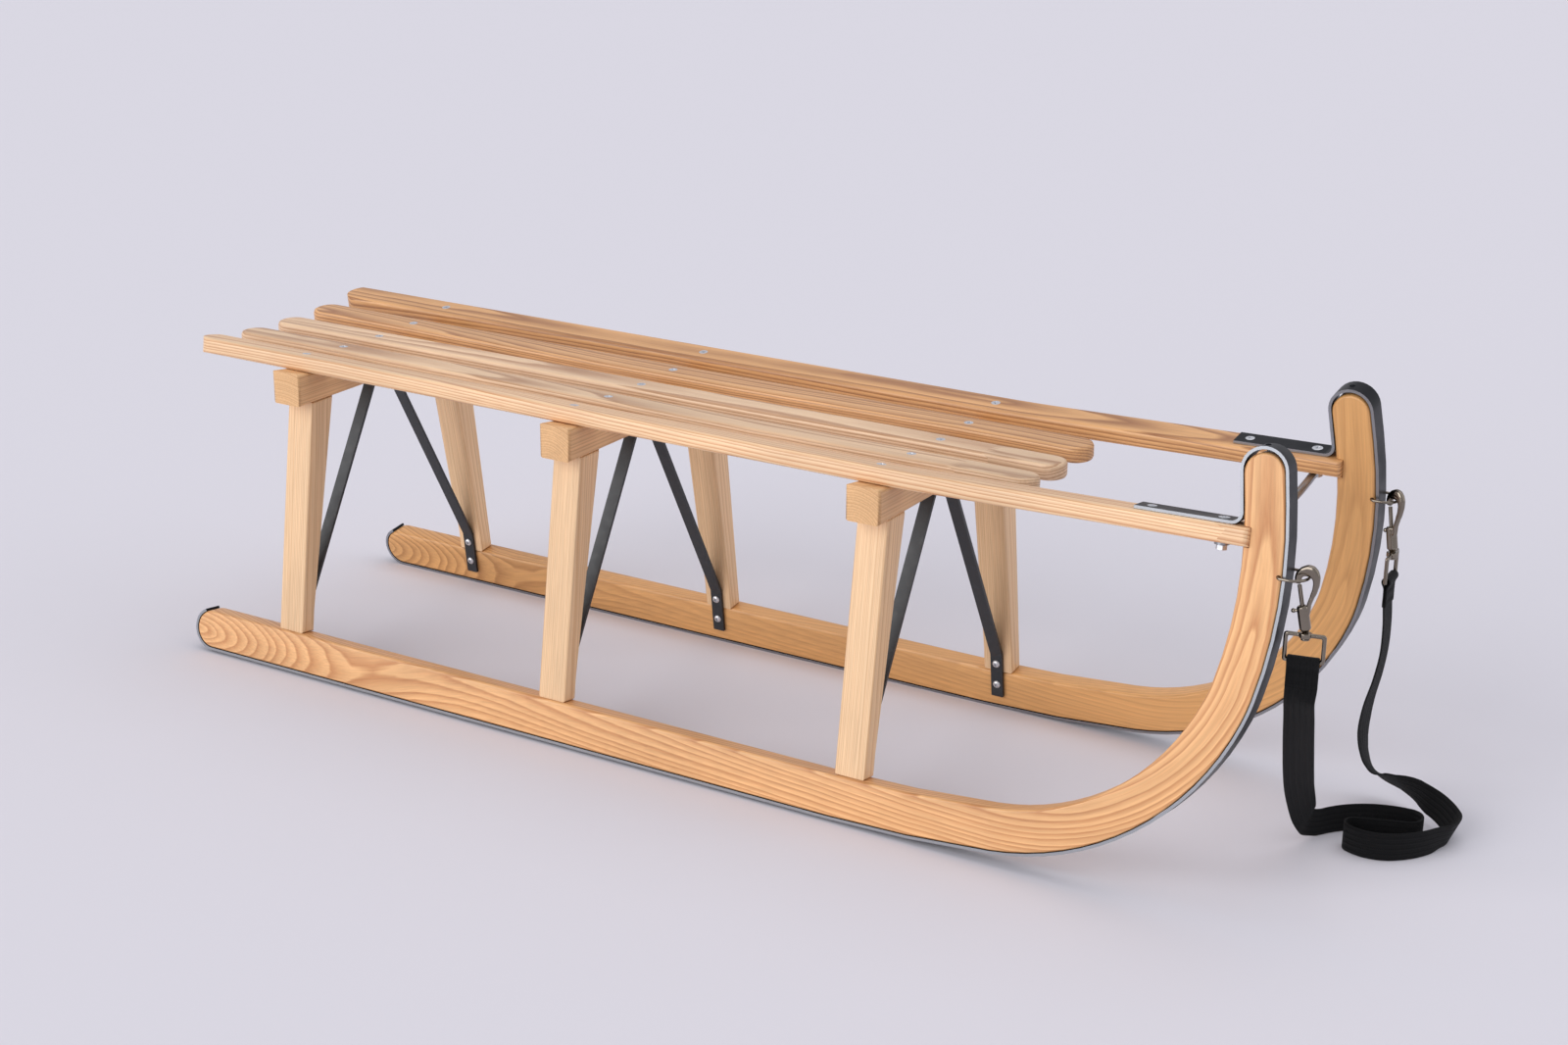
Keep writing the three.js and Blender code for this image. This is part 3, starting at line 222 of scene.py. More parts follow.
@dataclass(frozen=True)
class Ash(Finish):
    """Ash planed, eased and given a thin satin lacquer.

    Ash is ring-porous: each year starts with a row of open pores that reads as a darker line,
    which fades into smooth pale latewood. The rings are cylinders about the pith, so they show
    as long lines, as arches and as end grain by themselves. The piece's grain attribute gives
    millimetres along the board and from the pith, and every reach is a length of one streak
    along and across the board.
    """

    latewood: str
    earlywood: str
    ring: float
    depth: float
    wander: float
    joint: Optional[float] = None
    calm: Optional[tuple[float, float]] = None
    calm_share: float = 0.42
    pore_depth: float = 0.14
    joint_shift: float = 17.0
    joint_shade: float = -0.09
    tooth: float = 1.9
    tooth_slope: float = 5.0
    waver: float = 1.1
    year_spread: float = 1.5
    bend_reach: Reach = (240, 46, 46)
    waver_reach: Reach = (60, 9, 9)
    pore_reach: Reach = (28, 0.8, 0.8)
    fibre_reach: Reach = (90, 1.6, 1.6)
    cloud_reach: Reach = (310, 38, 38)
    year_stops: tuple[tuple[float, float], ...] = (
        (0.0, 0.72), (0.06, 0.96), (0.2, 0.72), (0.42, 0.40), (0.68, 0.14), (0.92, 0.0), (1.0, 0.72))

    def shader(self, tree: bpy.types.NodeTree) -> bpy.types.Node:
        """Add the wood's nodes and give back its shader."""
        grain = add_node(tree, "Attribute", {"attribute_name": GRAIN}).outputs["Vector"]
        along, beside, _ = add_node(tree, "SeparateXYZ", {0: grain}).outputs
        beyond = self.beyond_joint(tree, along, beside)
        pores = remap(tree, self.streaks(tree, grain, self.pore_reach, 1), 0.50, 0.66)
        dark = calc(tree, "MULTIPLY_ADD", pores, self.pore_depth, self.years(tree, grain, beyond))
        dark = add_node(tree, "Math", {"operation": "MULTIPLY", 0: dark, 1: self.depth, "use_clamp": True})
        if self.calm:
            dark = calc(tree, "MULTIPLY", dark, remap(tree, along, *self.calm, 1.0, self.calm_share))
        lift = remap(tree, self.streaks(tree, grain, self.fibre_reach, 2), 0.25, 0.75, 0.90, 1.10)
        mood = remap(tree, self.streaks(tree, grain, self.cloud_reach, 1), 0.30, 0.70, 0.91, 1.09)
        mood = calc(tree, "MULTIPLY_ADD", beyond, self.joint_shade, mood)
        light = calc(tree, "MULTIPLY", lift, mood)
        tint = tinted(tree, dark, self.latewood, self.earlywood)
        colour = add_node(tree, "VectorMath", {"operation": "SCALE", 0: tint, "Scale": light})
        bump = add_node(tree, "Bump", {
            "Strength": 0.35, "Distance": 0.12 * MM, "invert": True, "Height": pores})
        return add_node(tree, "BsdfPrincipled", {
            "Base Color": colour, "Roughness": 0.46, "IOR": 1.5, "Coat Weight": 0.22, "Coat Roughness": 0.32,
            "Normal": bump})

    def years(self, tree: bpy.types.NodeTree, grain: Feed, beyond: Feed) -> bpy.types.Node:
        """Add the year rings about the pith.

        Args:
            tree: The material's node tree.
            grain: The grain attribute.
            beyond: 1 beyond the finger joint, where another board's rings go on.

        Returns:
            How dark the wood of the ring is, from 0 to 1.
        """
        across = add_node(tree, "VectorMath", {"operation": "MULTIPLY", 0: grain, 1: (0, 1, 1)})
        radius = add_node(tree, "VectorMath", {"operation": "LENGTH", 0: across}).outputs["Value"]
        radius = calc(tree, "MULTIPLY_ADD", beyond, self.joint_shift, radius)
        for reach, swing in ((self.bend_reach, 2 * self.wander), (self.waver_reach, self.waver)):
            radius = calc(tree, "MULTIPLY_ADD", self.streaks(tree, grain, reach, 2), swing, radius)
        years = calc(tree, "DIVIDE", radius, self.ring)
        uneven = add_node(tree, "TexNoise", {
            "noise_dimensions": "1D", "W": years, "Scale": 0.41, "Detail": 1})
        year = calc(tree, "FRACT", calc(tree, "MULTIPLY_ADD", uneven, self.year_spread, years))
        return add_node(tree, "ValToRGB", {0: year, "stops": self.year_stops})

    def streaks(self, tree: bpy.types.NodeTree, grain: Feed, reach: Reach, detail: float) -> bpy.types.Node:
        """Add noise drawn out along the grain, from 0 to 1."""
        drawn = add_node(tree, "VectorMath", {"operation": "DIVIDE", 0: grain, 1: reach})
        return add_node(tree, "TexNoise", {0: drawn, "Scale": 1, "Detail": detail})

    def beyond_joint(self, tree: bpy.types.NodeTree, along: Feed, beside: Feed) -> Feed:
        """Add the zigzag of a glued finger joint across the board.

        Args:
            tree: The material's node tree.
            along: Millimetres along the board.
            beside: Millimetres across it.

        Returns:
            1 beyond the joint and 0 before it, and 0 all over on a board in one piece.
        """
        if self.joint is None:
            return 0.0
        zigzag = calc(tree, "PINGPONG", beside, self.tooth)
        edge = calc(tree, "MULTIPLY_ADD", zigzag, self.tooth_slope, self.joint)
        return calc(tree, "GREATER_THAN", along, edge)


@dataclass(frozen=True)
class Metal(Finish):
    """Plated or rolled steel: smooth, with a faint grain that breaks up its reflections."""

    colour: str
    worn: str
    roughness: float
    spread: float
    grit: float = 0.6
    dent: float = 0.02
    cloud: float = 24

    def shader(self, tree: bpy.types.NodeTree) -> bpy.types.Node:
        """Add the metal's nodes and give back its shader."""
        cloud = speckle(tree, self.cloud, 3)
        rough = remap(tree, cloud, 0.3, 0.7, self.roughness - self.spread, self.roughness + self.spread)
        bump = add_node(tree, "Bump", {
            "Strength": 0.25, "Distance": self.dent * MM, "Height": speckle(tree, self.grit, 2)})
        return add_node(tree, "BsdfPrincipled", {
            "Metallic": 1.0, "Base Color": tinted(tree, cloud, self.colour, self.worn), "Roughness": rough,
            "Normal": bump})


@dataclass(frozen=True)
class Enamel(Finish):
    """Black stoving enamel on flat steel: a soft sheen over slight orange peel, scuffed grey in spots."""

    colour: str
    scuffed: str
    peel: float = 1.6
    scuff: float = 9

    def shader(self, tree: bpy.types.NodeTree) -> bpy.types.Node:
        """Add the enamel's nodes and give back its shader."""
        scuffs = speckle(tree, self.scuff, 5, 0.7)
        worn = remap(tree, scuffs, 0.52, 0.78, 0.0, 0.8)
        bump = add_node(tree, "Bump", {
            "Strength": 0.3, "Distance": 0.04 * MM, "Height": speckle(tree, self.peel, 2)})
        return add_node(tree, "BsdfPrincipled", {
            "IOR": 1.52, "Base Color": tinted(tree, worn, self.colour, self.scuffed),
            "Roughness": remap(tree, scuffs, 0.3, 0.7, 0.36, 0.50), "Normal": bump})


@dataclass(frozen=True)
class Webbing(Finish):
    """Black woven polyester webbing: ribs slanting over the band and a firm selvedge.

    The piece's lay attribute gives millimetres along the band and across it. The ribs are drawn
    at twice their real pitch, so that they show.
    """

    thread: str
    # The gap colour is painted shade that darkens the weave's hollows.
    gap: str
    rib: float = 2.4
    pick: float = 1.5
    rib_height: float = 0.6
    fuzz_height: float = 0.9

    def shader(self, tree: bpy.types.NodeTree) -> bpy.types.Node:
        """Add the weave's nodes and give back its shader."""
        lay = add_node(tree, "Attribute", {"attribute_name": LAY}).outputs["Vector"]
        along, across, _ = add_node(tree, "SeparateXYZ", {0: lay}).outputs
        slant = calc(tree, "ADD", along, calc(tree, "PINGPONG", across, self.rib))
        picks = calc(tree, "SINE", calc(tree, "MULTIPLY", slant, 2 * math.pi / self.pick))
        ribs = calc(tree, "COSINE", calc(tree, "MULTIPLY", across, 2 * math.pi / self.rib))
        fuzz = add_node(tree, "TexNoise", {0: lay, "Scale": 1.4, "Detail": 3})
        height = calc(tree, "MULTIPLY_ADD", ribs, self.rib_height, picks)
        height = calc(tree, "MULTIPLY_ADD", fuzz, self.fuzz_height, height)
        # Low spots of the weave take the gap colour: painted shade in its hollows.
        tint = tinted(tree, remap(tree, height, -1, 2), self.gap, self.thread)
        bump = add_node(tree, "Bump", {"Strength": 0.8, "Distance": 0.22 * MM, "Height": height})
        return add_node(tree, "BsdfPrincipled", {
            "Base Color": tint, "Roughness": 0.66, "Sheen Weight": 0.03, "Sheen Roughness": 0.4,
            "Specular IOR Level": 0.16, "Normal": bump})


@dataclass(frozen=True)
class Laminate(Finish):
    """Plain matt board, which keeps the sledge's shadow and mirrors no lamp."""

    colour: str

    def shader(self, tree: bpy.types.NodeTree) -> bpy.types.Node:
        """Add the board's shader."""
        return add_node(tree, "BsdfPrincipled", {
            "Base Color": linear(self.colour), "Roughness": 0.6, "Specular IOR Level": 0.0})


def built_once(kind: type[Finish], name: str, *looks: Any, **details: Any) -> Any:
    """Make a field of a dataclass that holds a finish's material and is named as it is."""
    return field(default_factory=kind(name, *looks, **details).material)


@dataclass(frozen=True)
class Finishes:
    """Every finish that several pieces wear, built once."""

    honey_ash: bpy.types.Material = built_once(
        Ash, "honey_ash", "EBB67E", "B4703C", 4.3, 0.74, 3.0, calm=(820, 1120))
    # A darker copy of the runner ash for the left runner: partly its own deeper tone, partly painted shade.
    amber_ash: bpy.types.Material = built_once(
        Ash, "amber_ash", "DCA568", "A06A38", 4.3, 0.74, 3.0, calm=(820, 1120))
    leg_ash: bpy.types.Material = built_once(
        Ash, "leg_ash", "EDC99F", "C08852", 1.9, 0.46, 0.8, pore_depth=0.12)
    bar_ash: bpy.types.Material = built_once(
        Ash, "bar_ash", "E6B986", "B57C48", 2.4, 0.50, 0.8, pore_depth=0.12)
    # The near-black steel is a painted dark reflection on the strips' flat faces; the steel itself is mid-grey.
    rolled_steel: bpy.types.Material = built_once(Metal, "rolled_steel", "1A1B1E", "26282C", 0.40, 0.07)
    cut_steel: bpy.types.Material = built_once(
        Metal, "cut_steel", "A4A7AC", "95989D", 0.34, 0.03, dent=0.004)
    zinc: bpy.types.Material = built_once(Metal, "zinc", "E2E3E6", "CCCED3", 0.42, 0.06)
    # The nickel is darker than bright plating; that darkness is a painted dark reflection.
    nickel: bpy.types.Material = built_once(Metal, "nickel", "938A7E", "72695F", 0.15, 0.04, 1.1)
    black_enamel: bpy.types.Material = built_once(Enamel, "black_enamel", "1E2126", "33373E")
    webbing: bpy.types.Material = built_once(Webbing, "webbing", "0F1012", "050506")


# Mesh helpers


def frame_mesh(node: str) -> bmesh.types.BMesh:
    """Copy a node of the frame as a clean mesh, its loose triangles welded.

    Args:
        node: The node's name.

    Returns:
        The mesh.
    """
    shape = bmesh.new()
    shape.from_mesh(FRAME["nodes"][node].data)
    bmesh.ops.remove_doubles(shape, verts=shape.verts, dist=0.002 * MM)
    bmesh.ops.dissolve_limit(shape, angle_limit=math.radians(0.3), verts=shape.verts, edges=shape.edges)
    return shape


def finished(
    name: str,
    shape: bmesh.types.BMesh,
    materials: Sequence[bpy.types.Material],
    body: Optional[str],
    slot: str,
    nodes: Sequence[str],
    crease: float = 50,
    ease: float = 0,
) -> bpy.types.Object:
    """Turn a mesh into a finished piece that rides on its body.

    Args:
        name: The piece's name.
        shape: Its mesh, which is freed.
        materials: Its materials, in the order that its faces number them.
        body: The body that it moves with, or None for a piece that rides on no body.
        slot: The record's material slot; not used.
        nodes: The frame's nodes that it stands for.
        crease: Angle in degrees past which an edge stays sharp.
        ease: Width in millimetres to which sharp edges are rounded.

    Returns:
        The piece.
    """
    for face in shape.faces:
        face.smooth = True
    for edge in shape.edges:
        edge.smooth = edge.calc_face_angle(math.pi) < math.radians(crease)
    piece = placed(name, shape)
    for material in materials:
        piece.data.materials.append(material)
    if ease:
        rounding = piece.modifiers.new("ease", "BEVEL")
        rounding.width = ease * MM
        rounding.segments = 2
        rounding.limit_method = "ANGLE"
        rounding.angle_limit = math.radians(28)
        rounding.use_clamp_overlap = True
    shading = piece.modifiers.new("flat_faces", "WEIGHTED_NORMAL")
    shading.keep_sharp = True
    if body:
        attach(piece, body)
    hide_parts(*nodes)
    log.info("%s: %d faces", name, len(piece.data.polygons))
    return piece


def placed(name: str, shape: bmesh.types.BMesh) -> bpy.types.Object:
    """Put a mesh, which is freed, into the scene as an object of its own."""
    mesh = bpy.data.meshes.new(name)
    shape.to_mesh(mesh)
    shape.free()
    made = bpy.data.objects.new(name, mesh)
    bpy.context.scene.collection.objects.link(made)
    return made


@dataclass(frozen=True)
class Casting:
    """How a piece's facets melt together, as a casting's do. Sizes in millimetres."""

    grain: float
    rounds: int = 8
    bight_rounds: int = 0
    swell: float = 0
    bight: float = 0
    swell_slope: float = 0.1

    def skin(self, shape: bmesh.types.BMesh) -> bmesh.types.BMesh:
        """Give a piece its new skin, and smooth its bight more than its bores.

        Args:
            shape: The piece, which is freed.

        Returns:
            The piece with its new skin.
        """
        pattern = placed("pattern", shape)
        remesh = pattern.modifiers.new("skin", "REMESH")
        remesh.mode = "VOXEL"
        remesh.voxel_size = self.grain * MM
        cast = bmesh.new()
        cast.from_object(pattern, bpy.context.evaluated_depsgraph_get())
        bpy.data.meshes.remove(pattern.data)
        foot = max(vert.co.z for vert in cast.verts) - self.bight * MM
        bight = [vert for vert in cast.verts if vert.co.z > foot]
        for verts, rounds in ((list(cast.verts), self.rounds), (bight, self.bight_rounds)):
            for _ in range(rounds):
                bmesh.ops.smooth_vert(
                    cast, verts=verts, factor=0.5, use_axis_x=True, use_axis_y=True, use_axis_z=True)
        cast.normal_update()
        for vert in bight:
            vert.co += vert.normal * min(self.swell * MM, (vert.co.z - foot) * self.swell_slope)
        cast.normal_update()
        return cast


def cut_across(shape: bmesh.types.BMesh, place: Vector, normal: Vector) -> None:
    """Cut a mesh's faces where a plane crosses them, so that its grain can turn there."""
    whole = [*shape.verts, *shape.edges, *shape.faces]
    bmesh.ops.bisect_plane(shape, geom=whole, dist=0.001 * MM, plane_co=place, plane_no=normal)


def follow_grain(shape: bmesh.types.BMesh, grain: Callable[[Vector], Vector]) -> None:
    """Store where each point lies in its board's tree.

    Args:
        shape: The board.
        grain: Gives millimetres along the board and from the pith for a point in metres.
    """
    layer = shape.verts.layers.float_vector.new(GRAIN)
    for vert in shape.verts:
        vert[layer] = grain(vert.co)


def frames_along(points: Sequence[Vector], across: Sequence[Vector], closed: bool = False) -> list[Matrix]:
    """Stand a frame on each point of a line.

    Args:
        points: The line.
        across: At each point, roughly where the section's own X points.
        closed: Whether the line's end meets its start.

    Returns:
        Frames whose Z runs along the line.
    """
    frames = []
    last = len(points) - 1
    for i, (point, side) in enumerate(zip(points, across)):
        before = points[i - 1 if i or closed else 0]
        after = points[(i + 1) % len(points) if closed else min(i + 1, last)]
        along = (after - before).normalized()
        level = (side - along * side.dot(along)).normalized()
        columns = Matrix((level, along.cross(level), along)).transposed()
        frames.append(Matrix.Translation(point) @ columns.to_4x4())
    return frames


def parts_of(made: Mapping[str, Any], kind: type) -> list[Any]:
    """Pick the parts of one kind, such as edges, out of what an operator made."""
    return [part for part in made["geom"] if isinstance(part, kind)]


def swept(section: Sequence[tuple[float, float]], frames: Sequence[Matrix],
          closed: bool = False) -> bmesh.types.BMesh:
    """Draw a section along a line of frames.

    Args:
        section: The section's outline in metres.
        frames: Where it stands, one after the other.
        closed: Whether the last frame is joined to the first, or both ends are capped.

    Returns:
        The mesh, with millimetres along and across in its lay attribute.
    """
    shape = bmesh.new()
    layer = shape.verts.layers.float_vector.new(LAY)
    ring = bmesh.ops.create_circle(shape, segments=len(section), radius=1.0)["verts"]
    for vert, (a, b) in zip(ring, section):
        vert.co = frames[0] @ Vector((a, b, 0))
        vert[layer] = (0.0, a / MM, b / MM)
    edges = first = list(shape.edges)
    run = 0.0
    for before, after in zip(frames, frames[1:]):
        run += (after.translation - before.translation).length / MM
        grown = bmesh.ops.extrude_edge_only(shape, edges=edges)
        verts = parts_of(grown, bmesh.types.BMVert)
        edges = [edge for edge in parts_of(grown, bmesh.types.BMEdge) if edge.is_boundary]
        bmesh.ops.transform(shape, matrix=after @ before.inverted(), verts=verts)
        for vert in verts:
            vert[layer] = (run, vert[layer][1], vert[layer][2])
    if closed:
        bmesh.ops.bridge_loops(shape, edges=first + edges)
    else:
        bmesh.ops.holes_fill(shape, edges=[edge for edge in shape.edges if edge.is_boundary], sides=0)
    bmesh.ops.recalc_face_normals(shape, faces=shape.faces)
    return shape


def arc(centre: tuple[float, float], radius: float, start: float, end: float, steps: int) -> Outline:
    """Place points evenly on an arc, from its start to its end in degrees."""
    angles = [math.radians(start + (end - start) * i / steps) for i in range(steps + 1)]
    return [(centre[0] + radius * math.cos(angle), centre[1] + radius * math.sin(angle)) for angle in angles]


def round_section(radius: float, sides: int) -> Outline:
    """Outline in metres of round wire of a radius in millimetres, a flat side ahead."""
    return arc((0, 0), radius * MM, 180 / sides, 360 + 180 / sides, sides)[:-1]


def cubic(start: Value, end: Value, leave: Value, arrive: Value, share: float) -> Value:
    """Go from start to end along a cubic.

    Args:
        start: Its start, a number or a vector.
        end: Its end.
        leave: Its slope at the start.
        arrive: Its slope at the end.
        share: How far along, from 0 to 1.

    Returns:
        The cubic's value there.
    """
    return (start + leave * share + (3 * (end - start) - 2 * leave - arrive) * share ** 2
            + (2 * (start - end) + leave + arrive) * share ** 3)


def smooth_line(points: Sequence[Vector], steps: int) -> list[Vector]:
    """Run a centripetal Catmull-Rom line through points.

    Args:
        points: The points.
        steps: Steps from each point to the next.

    Returns:
        The line's points, with the given ones among them.
    """
    padded = [2 * points[0] - points[1], *points, 2 * points[-1] - points[-2]]
    line = [points[0].copy()]
    for a, b, c, d in zip(padded, padded[1:], padded[2:], padded[3:]):
        t0, t1, t2 = (math.sqrt((q - p).length) for p, q in ((a, b), (b, c), (c, d)))
        leave = ((b - a) / t0 - (c - a) / (t0 + t1) + (c - b) / t1) * t1
        arrive = ((c - b) / t1 - (d - b) / (t1 + t2) + (d - c) / t2) * t1
        line += [cubic(b, c, leave, arrive, i / steps) for i in range(1, steps + 1)]
    return line


def length_of(points: Sequence[Vector]) -> float:
    """Length of a line of points, in metres."""
    return sum((b - a).length for a, b in zip(points, points[1:]))


@dataclass
class CrossHead:
    """A screw with a cross recess, the face that its head sits on at z = 0 of its frame.

    Sizes in millimetres, and shares of the head's radius.
    """

    radius: float
    crown: float
    rim: float
    shank: float
    length: float
    recess: float = 1.7
    sides: int = 24
    cross_share: float = 0.5
    arm_share: float = 0.16
    floor_share: float = 0.72
    flat_share: float = 0.62
    shoulder_share: float = 0.86
    taper: float = 0.7
    flat_crown: float = 0.96
    edge_crown: float = 0.25

    def add_to(self, shape: bmesh.types.BMesh, frame: Matrix, turn: float, material: int = 0) -> None:
        """Add the screw to a mesh.

        Args:
            shape: The mesh that it joins.
            frame: The head's place, in metres, with the shank down its -Z.
            turn: How far the recess is turned, in radians.
            material: Number of the screw's material on the mesh.
        """
        known = set(shape.verts)
        self.add_recess(shape)
        made = [vert for vert in shape.verts if vert not in known]
        mouth = {edge for vert in made for edge in vert.link_edges if edge.is_boundary}
        flat = self.radius * self.flat_share
        ring = bmesh.ops.create_circle(shape, segments=self.sides, radius=flat)["verts"]
        bmesh.ops.translate(shape, verts=ring, vec=(0, 0, self.crown * self.flat_crown))
        loop = {edge for vert in ring for edge in vert.link_edges}
        bmesh.ops.bridge_loops(shape, edges=[*mouth, *loop])
        self.add_side(shape, list(loop))
        made = [vert for vert in shape.verts if vert not in known]
        place = frame @ Matrix.Rotation(turn, 4, "Z") @ Matrix.Scale(MM, 4)
        bmesh.ops.transform(shape, matrix=place, verts=made)
        faces = list({face for vert in made for face in vert.link_faces})
        for face in faces:
            face.material_index = material
        bmesh.ops.recalc_face_normals(shape, faces=faces)

    def add_recess(self, shape: bmesh.types.BMesh) -> None:
        """Add the tapered cross that the driver fits, open at its mouth."""
        half = self.radius * self.cross_share
        arm = self.radius * self.arm_share
        cross = bmesh.ops.create_grid(shape, x_segments=3, y_segments=3, size=half)["verts"]
        for vert in cross:
            vert.co.xy = [math.copysign(half if abs(at) > half * 0.9 else arm, at) for at in vert.co.xy]
        faces = {face for vert in cross for face in vert.link_faces}
        corners = [face for face in faces if min(map(abs, face.calc_center_median().xy)) > arm]
        bmesh.ops.delete(shape, geom=corners, context="FACES")
        cross = [vert for vert in cross if vert.is_valid]
        faces = list({face for vert in cross for face in vert.link_faces})
        bmesh.ops.translate(shape, verts=cross, vec=(0, 0, self.crown))
        floor = parts_of(bmesh.ops.extrude_face_region(shape, geom=faces), bmesh.types.BMVert)
        bmesh.ops.delete(shape, geom=faces, context="FACES_KEEP_BOUNDARY")
        bmesh.ops.scale(shape, vec=(self.floor_share, self.floor_share, 1), verts=floor)
        bmesh.ops.translate(shape, verts=floor, vec=(0, 0, -self.recess))

    def add_side(self, shape: bmesh.types.BMesh, edges: list[bmesh.types.BMEdge]) -> None:
        """Draw the head's edge, its underside and the shank down from the head's flat top.

        Args:
            shape: The mesh.
            edges: The rim of the flat top.
        """
        core = self.shank / self.radius
        outline = (
            (self.shoulder_share, self.crown * self.taper), (1.0, self.crown * self.edge_crown),
            (1.0, self.rim),
            (core, self.rim - (self.radius - self.shank) * self.taper), (core, -self.length))
        at = self.flat_share
        for share, height in outline:
            grown = bmesh.ops.extrude_edge_only(shape, edges=edges)
            ring = parts_of(grown, bmesh.types.BMVert)
            edges = [edge for edge in parts_of(grown, bmesh.types.BMEdge) if edge.is_boundary]
            bmesh.ops.scale(shape, vec=(share / at, share / at, 1), verts=ring)
            bmesh.ops.translate(shape, verts=ring, vec=(0, 0, height - ring[0].co.z))
            at = share
        bmesh.ops.holes_fill(shape, edges=edges, sides=0)


def screw_frame(node: str) -> Matrix:
    """Find where a screw of the frame sits, from its own mesh.

    Args:
        node: The screw's node, whose head faces up.

    Returns:
        A frame on the middle of its head's face, with the shank down its -Z.
    """
    shape = frame_mesh(node)
    top = max(shape.faces, key=lambda face: face.calc_area() * face.normal.z)
    turn = Vector((0, 0, 1)).rotation_difference(top.normal).to_matrix().to_4x4()
    place = Matrix.Translation(top.calc_center_median()) @ turn
    shape.free()
    return place


# Sub-assemblies


@dataclass
class Sledge:
    """Sizes that the sledge's sub-assemblies share, in millimetres."""

    middle: float = -123.837
    trestle_spacing: float = 312
    lean: float = math.radians(8)
    inner_foot: float = 139.6
    board_middle: float = 9.3

    def trestle_place(self, trestle: Trestle) -> float:
        """Place of a trestle along the sledge, in millimetres."""
        return self.middle + trestle.value * self.trestle_spacing

    def board(self, side: Side) -> Matrix:
        """Frame of one side's leaning board, in metres: X along, Y outwards and Z up it."""
        lean = Matrix.Rotation(side.value * self.lean, 4, "X")
        return Matrix.Translation(Vector((self.middle, side.value * self.inner_foot, 0)) * MM) @ lean


